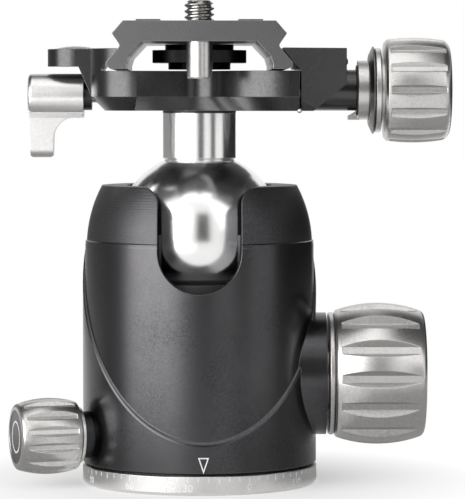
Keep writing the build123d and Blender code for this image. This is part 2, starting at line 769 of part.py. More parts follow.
# ================================================================ clamp
lobe_y = end_lobe_radius - clamp_half_length
lobe_to_hollow = end_lobe_radius + hollow_radius
hollow_y = lobe_y - sqrt(lobe_to_hollow**2 - (end_lobe_x - hollow_x) ** 2)
meeting = degrees(atan2(lobe_y - hollow_y, end_lobe_x - hollow_x))
corner_x = clamp_left + clamp_corner
with BuildPart() as clamp_body:
    with BuildSketch(Plane.XY.offset(bevel_top)) as plan:
        with BuildLine():
            spare_x = clamp_right + clamp_bevel + spare  # then cut square at the right side
            Polyline((spare_x, 0), (spare_x, -clamp_half_length), (end_lobe_x, -clamp_half_length))
            CenterArc((end_lobe_x, lobe_y), end_lobe_radius, 270, meeting - 90)
            hollow = CenterArc((hollow_x, hollow_y), hollow_radius, meeting,
                               90 + end_slope - meeting)
            slope_end = hollow @ 1
            corner_y = slope_end.Y - (slope_end.X - corner_x) * tan(radians(end_slope))
            Line(slope_end, (corner_x, corner_y))
            CenterArc((corner_x, corner_y + clamp_corner), clamp_corner, 270, -90)
            Line((clamp_left, corner_y + clamp_corner), (clamp_left, 0))
            mirror(about=Plane.XZ)
        make_face()
    extrude(plan.sketch, amount=jaw_top - bevel_top)
    extrude(plan.sketch, amount=clamp_bevel, dir=(0, 0, -1), taper=45)
    split(bisect_by=Plane.YZ.offset(clamp_right), keep=Keep.BOTTOM)
    with BuildSketch(Plane.XY.offset(wing_bottom)) as wing:
        with Locations((wing_x, 0)):
            Circle(wing_radius)
        with Locations(((wing_x + clamp_left) / 2, 0)):
            Rectangle(abs(clamp_left - wing_x), 2 * wing_radius)
    extrude(wing.sketch, amount=jaw_top - wing_bottom)
    with BuildSketch(Plane.XZ) as web:
        with BuildLine():
            Polyline(
                (clamp_left - wing_web, wing_bottom), (clamp_left + spare, wing_bottom),
                (clamp_left + spare, bevel_top), (clamp_left, bevel_top),
                close=True,
            )
        make_face()
    extrude(web.sketch, amount=wing_radius, both=True)
    with BuildSketch(Plane.XZ) as relief_arc:
        with Locations((clamp_left - wing_arc_out, lever_height - wing_arc_drop)):
            Circle(wing_arc_radius)
    extrude(relief_arc.sketch, amount=wing_radius + spare, both=True, mode=Mode.SUBTRACT)
    with BuildSketch(Plane.XZ) as channel:
        with BuildLine():
            Polyline(
                (-jaw_root, clamp_floor), (-jaw_root, jaw_root_height), (-jaw_lip, jaw_lip_height),
                (-jaw_lip, jaw_top + spare), (clamp_right + spare, jaw_top + spare),
                (clamp_right + spare, clamp_floor),
                close=True,
            )
        make_face()
    extrude(channel.sketch, amount=clamp_half_length + spare, both=True, mode=Mode.SUBTRACT)
    drum(lever_plane, lever_outer, clamp_left, lever_hub_radius + lever_clear, mode=Mode.SUBTRACT)
    drum(Plane.XY, clamp_bottom, clamp_floor, spigot_radius + slide_gap, mode=Mode.SUBTRACT)
    drum(Plane.XY, spigot_top - well_drop, clamp_floor, well_radius, mode=Mode.SUBTRACT)
    drum(screw_plane, draw_start - spare, clamp_right, draw_radius + fit_gap, mode=Mode.SUBTRACT)
    drum(lever_plane, clamp_left, 0, lever_screw_radius + running_gap, mode=Mode.SUBTRACT)
    for side in (-1, 1):
        guide_plane = axis_x(screw_height, side * guide_offset)
        drum(guide_plane, guide_start, clamp_right, guide_radius + fit_gap, mode=Mode.SUBTRACT)
        drum(guide_plane, clamp_right - spring_well, clamp_right, spring_radius + seat_gap,
             mode=Mode.SUBTRACT)
    drum(at(wing_x, 0, jaw_top), -level_depth, 0, level_radius + fit_gap, mode=Mode.SUBTRACT)
clamp_body.part.label = "clamp_body"

with BuildPart() as draw_bolt:
    drum(screw_plane, draw_start, draw_end, draw_radius)
    chamfer(edges().filter_by(GeomType.CIRCLE).sort_by(Axis.X)[-1], draw_chamfer)
draw_bolt.part.label = "draw_bolt"

with BuildPart() as guide_pins:
    for side in (-1, 1):
        drum(axis_x(screw_height, side * guide_offset), guide_start, guide_end, guide_radius)
guide_pins.part.label = "guide_pins"

with BuildPart() as level_vial:
    with BuildSketch(along(at(wing_x, 0, jaw_top))) as vial_wall:
        vial_foot = fit_gap - level_depth
        vial_inner = level_radius - level_wall
        with BuildLine():
            Polyline(
                (0, level_radius), (vial_foot, level_radius), (vial_foot, 0),
                (level_wall - level_depth, 0), (level_wall - level_depth, vial_inner),
                (-level_window, vial_inner), (-level_window, 0), (level_dome, 0),
            )
            ThreePointArc((level_dome, 0), (level_dome * 0.75, level_radius / 2), (0, level_radius))
        make_face()
    revolve(vial_wall.sketch, axis=Axis((wing_x, 0, 0), (0, 0, 1)))
level_vial.part.label = "level_vial"

with BuildPart() as level_liquid:
    drum(at(wing_x, 0, jaw_top), level_wall - level_depth + fit_gap, -level_window - fit_gap,
         level_radius - level_wall - fit_gap)
level_liquid.part.label = "level_liquid"

# ================================================================ clamp pan-lock lever
plug_tip = plug_reach - spigot_radius
with BuildPart() as brake_plug:
    drum(lever_plane, plug_start, plug_tip - plug_nose, lever_screw_radius - slide_gap)
    drum(lever_plane, plug_tip - plug_nose, plug_tip, plug_nose_radius)
brake_plug.part.label = "brake_plug"

with BuildPart() as lever_screw:
    drum(lever_plane, lever_inner - lever_screw_grip, plug_start - face_gap, lever_screw_radius)
lever_screw.part.label = "lever_screw"

with BuildPart() as lever_collar:
    drum(lever_plane, lever_inner, clamp_left - end_gap, lever_screw_radius + lever_collar_wall,
         lever_screw_radius + fit_gap)
lever_collar.part.label = "lever_collar"

with BuildPart() as lever_arm:
    with BuildSketch(Plane.XZ) as lever_side:
        with BuildLine():
            hub_low = lever_height - lever_hub_radius
            heel = (lever_inner - lever_heel[0], hub_low)
            throat = (lever_inner - lever_throat[0], hub_low - lever_throat[1])
            blade = (lever_inner - lever_blade[0], lever_tip + lever_blade[1])
            near_face, far_face = (lever_inner - run for run in lever_tail)
            tip_run, tip_rise = lever_tip_edge
            Polyline((lever_inner, lever_height), (lever_inner, hub_low + lever_heel[1]), heel)
            ThreePointArc(heel, throat, blade)
            Polyline(
                blade,
                (near_face, lever_tip + tip_rise),
                (near_face - tip_run, lever_tip),
                (far_face + tip_run, lever_tip),
                (far_face, lever_tip + tip_rise),
                (lever_outer, lever_height),
                (lever_inner, lever_height),
            )
        make_face()
    extrude(lever_side.sketch, amount=lever_tail_width / 2, both=True)
    with BuildSketch(Plane.YZ) as lever_front:
        with BuildLine():
            tail = lever_tail_width / 2
            tip = lever_tip_width / 2
            Polyline(
                (-tail, lever_height), (-tail, lever_height - lever_hub_radius), (-tip, lever_tip),
                (tip, lever_tip), (tail, lever_height - lever_hub_radius), (tail, lever_height),
                close=True,
            )
        make_face()
        fillet(lever_front.vertices().group_by(Axis.Y)[0], lever_tip_round)
    extrude(lever_front.sketch, amount=abs(lever_outer) + spare, both=True, mode=Mode.INTERSECT)

with BuildPart() as lever:
    drum(lever_plane, lever_outer, lever_inner, lever_hub_radius)
    fillet(edges().filter_by(GeomType.CIRCLE).sort_by(Axis.X)[0], lever_hub_fillet)
    add(lever_arm.part)
    drum(lever_plane, lever_inner - lever_screw_grip - face_gap, lever_inner, lever_screw_radius + fit_gap,
         mode=Mode.SUBTRACT)
lever.part.label = "lever"

# ================================================================ moving jaw and clamp knob
cut_x = jaw_inner + moving_jaw_cut[0]
with BuildPart() as moving_jaw:
    with BuildSketch(Plane.XZ) as jaw_section:
        with BuildLine():
            Polyline(
                (jaw_inner, clamp_bottom), (jaw_inner, jaw_root_height),
                (jaw_root, jaw_root_height), (jaw_lip, jaw_lip_height), (jaw_lip, jaw_top),
                (moving_jaw_outer, jaw_top), (moving_jaw_outer, clamp_bottom + moving_jaw_cut[1]),
                (cut_x, clamp_bottom),
                close=True,
            )
        make_face()
    extrude(jaw_section.sketch, amount=clamp_half_length, both=True)
    with BuildSketch(Plane.XY.offset(clamp_bottom)) as jaw_plan:
        with BuildLine():
            lip_y = moving_jaw_front + moving_jaw_taper * (jaw_inner - jaw_lip) / moving_jaw_length
            outer_y = moving_jaw_front - moving_jaw_taper
            Polyline(
                (jaw_lip, -lip_y), (moving_jaw_outer, -outer_y),
                (moving_jaw_outer, outer_y), (jaw_lip, lip_y),
                close=True,
            )
        make_face()
    extrude(jaw_plan.sketch, amount=jaw_top - clamp_bottom, mode=Mode.INTERSECT)
    with BuildSketch(Plane.YZ) as jaw_front:
        with BuildLine():
            foot_y = moving_jaw_front - moving_jaw_bevel
            shoulder_rise = clamp_half_length - foot_y
            Polyline(
                (-foot_y, clamp_bottom), (foot_y, clamp_bottom),
                (clamp_half_length, clamp_bottom + shoulder_rise), (clamp_half_length, jaw_top),
                (-clamp_half_length, jaw_top), (-clamp_half_length, clamp_bottom + shoulder_rise),
                close=True,
            )
        make_face()
    extrude(jaw_front.sketch, amount=moving_jaw_outer, mode=Mode.INTERSECT)
    drum(screw_plane, cut_x, jaw_boss_end, jaw_boss_radius)
    drum(screw_plane, jaw_inner, jaw_boss_end, draw_radius + running_gap, mode=Mode.SUBTRACT)
    for side in (-1, 1):
        drum(axis_x(screw_height, side * guide_offset), jaw_inner, guide_end + guide_end_gap,
             guide_radius + running_gap, mode=Mode.SUBTRACT)
    drum(axis_x(button_height), moving_jaw_outer - button_in - slide_gap, moving_jaw_outer,
         button_radius + fit_gap, mode=Mode.SUBTRACT)
moving_jaw.part.label = "moving_jaw"

with BuildPart() as jaw_springs:
    for side in (-1, 1):
        start = (clamp_right - spring_well + spring_wire, side * guide_offset, screw_height)
        pitch = (spring_well - spring_wire) / spring_turns
        with BuildLine() as coil:
            Helix(pitch, pitch * spring_turns, spring_radius - spring_wire, center=start,
                  direction=(1, 0, 0))
        with BuildSketch(Plane(coil.line @ 0, z_dir=coil.line % 0)) as wire:
            Rectangle(spring_wire, spring_wire)
        sweep(wire.sketch, path=coil.line, is_frenet=True)
jaw_springs.part.label = "jaw_springs"

with BuildPart() as jaw_button:
    drum(axis_x(button_height), moving_jaw_outer - button_in, moving_jaw_outer + button_out,
         button_radius)
    fillet(edges().filter_by(GeomType.CIRCLE).sort_by(Axis.X)[-1], button_radius * 0.7)
jaw_button.part.label = "jaw_button"

with BuildPart() as screw_washer:
    drum(screw_plane, jaw_boss_end + fit_gap, safety_start, screw_washer_radius,
         draw_radius + running_gap)
screw_washer.part.label = "screw_washer"

tab_tip = moving_jaw_outer + safety_tab_gap
with BuildPart() as safety_collar:
    drum(screw_plane, safety_start, safety_end, safety_radius)
    with BuildSketch(Plane.XZ) as tab:
        with BuildLine():
            foot = screw_height - safety_radius
            bend = jaw_boss_end - face_gap
            root = safety_start + safety_length / 8
            Polyline(
                (tab_tip, foot), (tab_tip, foot + safety_tab_wall),
                (bend, foot + 2 * safety_tab_rise), (bend, foot + safety_tab_rise),
                (root, foot + safety_tab_rise), (root, foot),
                close=True,
            )
        make_face()
    extrude(tab.sketch, amount=safety_tab_width / 2, both=True)
    drum(screw_plane, tab_tip, safety_end, draw_radius + running_gap, mode=Mode.SUBTRACT)
safety_collar.part.label = "safety_collar"

screw_bore = draw_radius + running_gap
with BuildPart() as dark_ring:
    turned(
        screw_plane,
        (
            (ring_dark_start, screw_bore), (ring_dark_start, ring_dark_foot),
            (ring_dark_end - ring_edge, ring_dark_radius), (ring_dark_end, ring_dark_radius),
            (ring_dark_end, screw_bore),
        ),
    )
dark_ring.part.label = "dark_ring"

with BuildPart() as light_ring:
    drum(screw_plane, ring_light_start, ring_light_end, ring_light_radius, screw_bore)
    chamfer(edges().filter_by(GeomType.CIRCLE).group_by(SortBy.RADIUS)[-1], ring_edge)
light_ring.part.label = "light_ring"

with BuildPart() as clamp_knob:
    knob_body(screw_plane, clamp_knob_start, clamp_knob_length, clamp_knob_radii,
              clamp_knob_corner, clamp_flute_radius, clamp_flute_length, clamp_flute_floor,
              screw_bore, clamp_knob_bore)
    drum(screw_plane, ring_light_end, clamp_knob_start, clamp_knob_neck, screw_bore)
clamp_knob.part.label = "clamp_knob"

# ================================================================ quick-release plate
with BuildPart() as plate:
    with BuildSketch(Plane.XZ) as dovetail:
        with BuildLine() as half:
            Polyline(
                (0, window_top), (window_top_half, window_top),
                (window_shoulder_half, plate_bottom + window_shoulder_rise),
                (window_half, plate_bottom + window_foot), (window_half, plate_bottom),
                (foot_bottom_half, plate_bottom), (foot_half, plate_bottom + foot_rises[0]),
                (foot_half, plate_bottom + foot_rises[1]), (neck_half, plate_bottom + neck_rise),
                (lobe_half, plate_bottom + lobe_rise), (top_half, plate_top), (0, plate_top),
                close=True,
            )
        make_face()
        mirror(about=Plane.YZ)
    extrude(dovetail.sketch, amount=plate_half_length, both=True)
    outer_edges = edges().filter_by(Axis.Y)
    necks = [edge for edge in outer_edges if abs(abs(edge.center().X) - neck_half) < fit_gap]
    fillet(necks, neck_fillet)
    drum(Plane.XY, window_top, plate_top, stud_radius + running_gap, mode=Mode.SUBTRACT)
    with BuildSketch(Plane.XY.offset(plate_top)) as grooves:
        middle = (pad_inner + pad_outer) / 2
        with Locations((-middle, 0), (middle, 0)):
            Rectangle(pad_outer - pad_inner, 2 * pad_half_length)
    extrude(grooves.sketch, amount=-pad_depth, mode=Mode.SUBTRACT)
    for side in (-1, 1):
        drum(at(0, side * pin_offset, 0), window_top, plate_top - plate_skin,
             pin_spigot_radius + fit_gap, mode=Mode.SUBTRACT)
plate.part.label = "plate"

with BuildPart() as grip_pads:
    with BuildSketch(Plane.XY.offset(plate_top - pad_depth)) as strips:
        with Locations((-middle, 0), (middle, 0)):
            Rectangle(pad_outer - pad_inner - 2 * fit_gap, 2 * (pad_half_length - fit_gap))
    extrude(strips.sketch, amount=pad_depth + pad_proud)
grip_pads.part.label = "grip_pads"

for name, side in (("front_pin", -1), ("rear_pin", 1)):
    with BuildPart() as pin:
        drum(at(0, side * pin_offset, 0), plate_bottom - pin_hang, window_top, pin_radius)
        chamfer(edges().filter_by(GeomType.CIRCLE).sort_by(Axis.Z)[0], pin_chamfer)
        drum(at(0, side * pin_offset, 0), window_top, plate_top - plate_skin - end_gap,
             pin_spigot_radius)
    pin.part.label = name
    export_step(pin.part, f"parts/{name}.step")

with BuildPart() as camera_stud:
    drum(Plane.XY, flange_bottom, plate_top, stud_shank_radius)
    drum(Plane.XY, plate_top, plate_top + stud_length, stud_radius)
    chamfer(edges().filter_by(GeomType.CIRCLE).sort_by(Axis.Z)[-1], stud_chamfer)
camera_stud.part.label = "camera_stud"

with BuildPart() as screw_head:
    drum(Plane.XY, screw_foot, flange_top, screw_core_radius)
    drum(Plane.XY, flange_bottom, flange_top, screw_flange_radius)
    drum(Plane.XY, flange_bottom, flange_top, stud_shank_radius + fit_gap, mode=Mode.SUBTRACT)
    with BuildSketch(Plane.XY.offset(screw_foot)) as coin_slot:
        Rectangle(2 * (screw_core_radius + spare), coin_slot_width)
    extrude(coin_slot.sketch, amount=coin_slot_depth, mode=Mode.SUBTRACT)
    for side in (-1, 1):
        drum(ring_axis, side * screw_core_radius, side * (screw_core_radius - ring_pin_length),
             ring_pin_radius + running_gap, mode=Mode.SUBTRACT)
screw_head.part.label = "screw_head"

ring_inner = screw_core_radius + slide_gap
with BuildPart() as d_ring:
    with BuildSketch(Plane.XY.offset(ring_bottom)) as ring_plan:
        RectangleRounded(2 * ring_half_width, 2 * ring_reach, ring_corner)
        Circle(ring_inner, mode=Mode.SUBTRACT)
    extrude(ring_plan.sketch, amount=ring_height)
    for side in (-1, 1):
        drum(ring_axis, side * (ring_inner + spare / 2), side * (ring_inner + end_gap - ring_pin_length),
             ring_pin_radius)
d_ring.part.label = "d_ring"

# ================================================================ export
pieces = (
    base_plate, pan_glide, pan_journal, tripod_bushing, base_screws, pan_nut, housing,
    chamber_floor, lock_bush, pan_bush, ball_cup, lock_wedge, lock_screw, lock_ring, lock_knob,
    lock_cap, brake_shoe, pan_screw, pan_ring, pan_knob, pan_cap, ball_stem, stem_washer,
    clamp_washer, clamp_bolt, ball_liner, clamp_body, draw_bolt, guide_pins, level_vial,
    level_liquid, brake_plug, lever_screw, lever_collar, lever, moving_jaw, jaw_springs,
    jaw_button, screw_washer, safety_collar, dark_ring, light_ring, clamp_knob, plate, grip_pads,
    camera_stud, screw_head, d_ring,
)
for piece in pieces:
    export_step(piece.part, f"parts/{piece.part.label}.step")
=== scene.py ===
"""Dresses the tripod ball head with its scale, thread, level and finishes, in a plain studio."""

from __future__ import annotations

import json
import logging
import math
from collections.abc import Callable, Iterable, Sequence
from dataclasses import dataclass, field
from enum import Enum

import bmesh
import bpy
from mathutils import Matrix, Vector

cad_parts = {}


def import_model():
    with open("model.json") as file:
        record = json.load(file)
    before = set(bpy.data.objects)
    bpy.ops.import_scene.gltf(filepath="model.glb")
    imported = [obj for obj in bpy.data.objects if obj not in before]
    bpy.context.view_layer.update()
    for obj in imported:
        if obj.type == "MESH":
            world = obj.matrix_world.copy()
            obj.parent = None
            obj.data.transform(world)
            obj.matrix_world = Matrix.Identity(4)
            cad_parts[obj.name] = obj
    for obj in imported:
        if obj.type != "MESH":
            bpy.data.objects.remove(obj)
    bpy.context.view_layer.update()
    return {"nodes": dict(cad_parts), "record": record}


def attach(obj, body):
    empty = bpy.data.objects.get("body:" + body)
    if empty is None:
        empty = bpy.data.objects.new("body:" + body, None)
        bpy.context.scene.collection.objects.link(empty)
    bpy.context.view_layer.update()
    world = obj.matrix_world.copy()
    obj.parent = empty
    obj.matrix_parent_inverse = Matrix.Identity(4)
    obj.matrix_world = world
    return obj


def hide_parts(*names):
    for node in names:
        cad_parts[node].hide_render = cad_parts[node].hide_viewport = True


LOG = logging.getLogger("ball_head")
MM = 0.001
HAIR = 1e-6  # metres: points nearer to each other than this are one
AIM_HEIGHT = 0.055  # metres: the place on the head's axis that lamps and cards face
UPRIGHT = Matrix.Rotation(math.radians(90), 4, "X")


# ------------------------------------------------------------------ bench: modelling by operators
class Join(Enum):
    """How one solid is combined with another."""

    ADD = "UNION"
    KEEP = "INTERSECT"


class Bench:
    """The modelling moves that every sub-assembly uses."""

    line_weld = 1e-7
    piece_weld = 2e-7

    @staticmethod
    def clear() -> None:
        """Leaves edit mode and deselects everything."""
        if bpy.context.object and bpy.context.object.mode != "OBJECT":
            bpy.ops.object.mode_set(mode="OBJECT")
        bpy.ops.object.select_all(action="DESELECT")

    @classmethod
    def take(cls, piece: bpy.types.Object, edit: bool = False) -> None:
        """Makes one piece the only selected and active object.

        Args:
            piece: The object to work on.
            edit: Whether to enter edit mode with nothing selected.
        """
        cls.clear()
        bpy.context.view_layer.objects.active = piece
        piece.select_set(True)
        if edit:
            bpy.ops.object.mode_set(mode="EDIT")
            bpy.ops.mesh.select_mode(type="VERT")
            bpy.ops.mesh.select_all(action="DESELECT")

    @classmethod
    def take_all(cls, piece: bpy.types.Object) -> None:
        """Opens a piece in edit mode with everything selected."""
        cls.take(piece, edit=True)
        bpy.ops.mesh.select_all(action="SELECT")

    @staticmethod
    def settle(name: str) -> bpy.types.Object:
        """Names the primitive just added and moves its place into its mesh.

        Args:
            name: The piece's name.

        Returns:
            The piece.
        """
        piece = bpy.context.object
        piece.name = name
        bpy.ops.object.transform_apply(location=True, rotation=True, scale=True)
        return piece

    @staticmethod
    def pick(test: Callable[[Vector], bool]) -> int:
        """Selects vertices of the piece in edit mode by where they lie.

        Args:
            test: Says whether a vertex at this place is wanted.

        Returns:
            How many vertices were selected.
        """
        bpy.ops.mesh.select_all(action="DESELECT")
        data = bpy.context.edit_object.data
        mesh = bmesh.from_edit_mesh(data)
        chosen = [vertex for vertex in mesh.verts if test(vertex.co)]
        for vertex in chosen:
            vertex.select_set(True)
        bmesh.update_edit_mesh(data)
        return len(chosen)

    @classmethod
    def line(cls, name: str, points: Sequence[Vector], closed: bool) -> bpy.types.Object:
        """Draws a chain of edges by extruding one vertex from point to point.

        Args:
            name: The piece's name.
            points: The corners, in order.
            closed: Whether the chain returns to its first point.

        Returns:
            The new piece, in object mode.
        """
        cls.clear()
        bpy.ops.mesh.primitive_plane_add(size=MM, location=points[0])
        piece = cls.settle(name)
        cls.take_all(piece)
        bpy.ops.mesh.merge(type="CENTER")
        ends = list(points[1:]) + ([points[0]] if closed else [])
        last = Vector(points[0])
        for point in ends:
            step = Vector(point) - last
            bpy.ops.mesh.extrude_vertices_move(TRANSFORM_OT_translate={"value": step})
            last = Vector(point)
        bpy.ops.mesh.select_all(action="SELECT")
        bpy.ops.mesh.remove_doubles(threshold=cls.line_weld)
        bpy.ops.object.mode_set(mode="OBJECT")
        return piece

    @classmethod
    def turn(
        cls, name: str, outline: Sequence[tuple[float, float]], place: Matrix, steps: int,
        closed: bool = False,
    ) -> bpy.types.Object:
        """Turns an outline of (along, radius) points on a lathe.

        Args:
            name: The piece's name.
            outline: Points as distance along the axis and radius, in millimetres.
            place: The lathe's frame: its Z is the axis.
            steps: Divisions of the full turn.
            closed: Whether the outline is a closed ring section.

        Returns:
            The turned piece.
        """
        points = [place @ Vector((radius * MM, 0, along * MM)) for along, radius in outline]
        piece = cls.line(name, points, closed)
        cls.take_all(piece)
        bpy.ops.mesh.spin(
            steps=steps, angle=math.tau, center=place.translation,
            axis=place.to_3x3() @ Vector((0, 0, 1)),
        )
        cls.tidy(piece)
        return piece

    @classmethod
    def tidy(cls, piece: bpy.types.Object) -> None:
        """Merges doubles and turns every face outwards."""
        cls.take_all(piece)
        bpy.ops.mesh.remove_doubles(threshold=cls.piece_weld)
        bpy.ops.mesh.select_all(action="SELECT")
        bpy.ops.mesh.normals_make_consistent(inside=False)
        bpy.ops.object.mode_set(mode="OBJECT")

    @classmethod
    def facet(cls, piece: bpy.types.Object) -> None:
        """Divides every face into triangles, so that none is bent."""
        cls.take_all(piece)
        bpy.ops.mesh.quads_convert_to_tris()
        bpy.ops.object.mode_set(mode="OBJECT")

    @classmethod
    def apply(cls, piece: bpy.types.Object, kind: str, **settings: object) -> None:
        """Adds a modifier with its settings and applies it.

        Args:
            piece: The piece to work on.
            kind: The modifier's type.
            **settings: The modifier's properties.
        """
        cls.take(piece)
        modifier = piece.modifiers.new(kind.title(), kind)
        for key, value in settings.items():
            setattr(modifier, key, value)
        bpy.ops.object.modifier_apply(modifier=modifier.name)

    @classmethod
    def combine(cls, piece: bpy.types.Object, tool: bpy.types.Object, how: Join) -> None:
        """Adds a tool piece, or keeps only what lies in it, and uses the tool up."""
        cls.apply(piece, "BOOLEAN", object=tool, operation=how.value, solver="EXACT")
        bpy.data.objects.remove(tool)

    @classmethod
    def shade(cls, piece: bpy.types.Object, angle: float = 30.0) -> None:
        """Shades a piece smooth but for edges sharper than an angle in degrees."""
        cls.take(piece)
        bpy.ops.object.shade_smooth_by_angle(angle=math.radians(angle))

    @classmethod
    def join(cls, name: str, parts: Sequence[bpy.types.Object]) -> bpy.types.Object:
        """Joins separate copies into one piece.

        Args:
            name: The joined piece's name.
            parts: What to join.

        Returns:
            The joined piece.
        """
        cls.clear()
        for part in parts:
            part.select_set(True)
        bpy.context.view_layer.objects.active = parts[0]
        if len(parts) > 1:
            bpy.ops.object.join()
        parts[0].name = name
        return parts[0]

    @classmethod
    def again(cls, piece: bpy.types.Object, places: Iterable[Matrix]) -> list[bpy.types.Object]:
        """Copies a piece, mesh and all, to each place.

        Args:
            piece: The model copied; it stays as it is.
            places: Where each copy goes.

        Returns:
            The copies.
        """
        copies = []
        for place in places:
            copy = piece.copy()
            copy.data = piece.data.copy()
            copy.data.transform(place)
            bpy.context.scene.collection.objects.link(copy)
            copies.append(copy)
        return copies


def lathe(x: float, y: float, z: float, axis: Vector | Sequence[float]) -> Matrix:
    """A frame at a point in millimetres whose Z is the given axis."""
    turned = Vector((0, 0, 1)).rotation_difference(Vector(axis).normalized())
    return Matrix.Translation(Vector((x, y, z)) * MM) @ turned.to_matrix().to_4x4()


def arc(
    centre: tuple[float, float], radius: float, start: float, end: float, steps: int
) -> list[tuple[float, float]]:
    """Points along an arc in a plane.

    Args:
        centre: The arc's centre.
        radius: Its radius.
        start: Its first angle in degrees.
        end: Its last angle in degrees.
        steps: How many equal parts it has.

    Returns:
        The points, ends included.
    """
    angles = [math.radians(start + (end - start) * i / steps) for i in range(steps + 1)]
    return [(centre[0] + radius * math.cos(a), centre[1] + radius * math.sin(a)) for a in angles]


# ------------------------------------------------------------------ finishes
Value = float | tuple | bpy.types.NodeSocket
Colour = tuple[float, float, float]
Range = tuple[float, float]


class Graph:
    """A node tree while it is wired."""

    def __init__(self, tree: bpy.types.NodeTree) -> None:
        """Takes the tree and empties it."""
        self.tree = tree
        tree.nodes.clear()

    @classmethod
    def material(cls, name: str) -> tuple[bpy.types.Material, Graph]:
        """Starts a material.

        Args:
            name: Its name.

        Returns:
            The material and its graph.
        """
        material = bpy.data.materials.new(name)
        material.use_nodes = True
        return material, cls(material.node_tree)

    def add(
        self, kind: str, settings: dict[str, object] | None = None,
        inputs: dict[str | int, Value] | None = None,
    ) -> bpy.types.Node:
        """Adds a node.

        Args:
            kind: The node's type, without its ShaderNode prefix.
            settings: Properties of the node.
            inputs: Values or other nodes' outputs, by socket name or number.

        Returns:
            The node.
        """
        node = self.tree.nodes.new("ShaderNode" + kind)
        for key, value in (settings or {}).items():
            setattr(node, key, value)
        for key, value in (inputs or {}).items():
            if isinstance(value, bpy.types.NodeSocket):
                self.tree.links.new(value, node.inputs[key])
            else:
                node.inputs[key].default_value = value
        return node

    def sum(self, operation: str, *values: Value) -> bpy.types.NodeSocket:
        """The result of one Math node."""
        inputs = dict(enumerate(values))
        return self.add("Math", {"operation": operation}, inputs).outputs[0]

    def vector(self, operation: str, *values: Value) -> bpy.types.Node:
        """One Vector Math node."""
        return self.add("VectorMath", {"operation": operation}, dict(enumerate(values)))

    def blend(self, share: Value, low: Value, high: Value) -> bpy.types.NodeSocket:
        """A colour mixed from two by a share."""
        node = self.add("Mix", {"data_type": "RGBA"}, {0: share, 6: low, 7: high})
        return node.outputs[2]

    def spread(self, value: Value, low: float, high: float, to: Range) -> Value:
        """A value moved from one range into another, held at its ends."""
        node = self.add("MapRange", None, {0: value, 1: low, 2: high, 3: to[0], 4: to[1]})
        return node.outputs[0]

    def bump(self, depth: float, height: Value, normal: Value | None = None) -> Value:
        """A normal that a height disturbs.

        Args:
            depth: What a height of 1 stands for, in millimetres.
            height: The height.
            normal: The normal before it, if not the surface's own.

        Returns:
            The new normal.
        """
        inputs = {"Strength": 1.0, "Distance": depth * MM, "Height": height}
        if normal is not None:
            inputs["Normal"] = normal
        return self.add("Bump", None, inputs).outputs[0]

    def place(self) -> bpy.types.NodeSocket:
        """The place on the piece."""
        return self.add("TexCoord").outputs["Object"]

    def group(self, tree: bpy.types.NodeTree, inputs: dict[str, Value]) -> bpy.types.Node:
        """Places a node group with its own values."""
        return self.add("Group", {"node_tree": tree}, inputs)


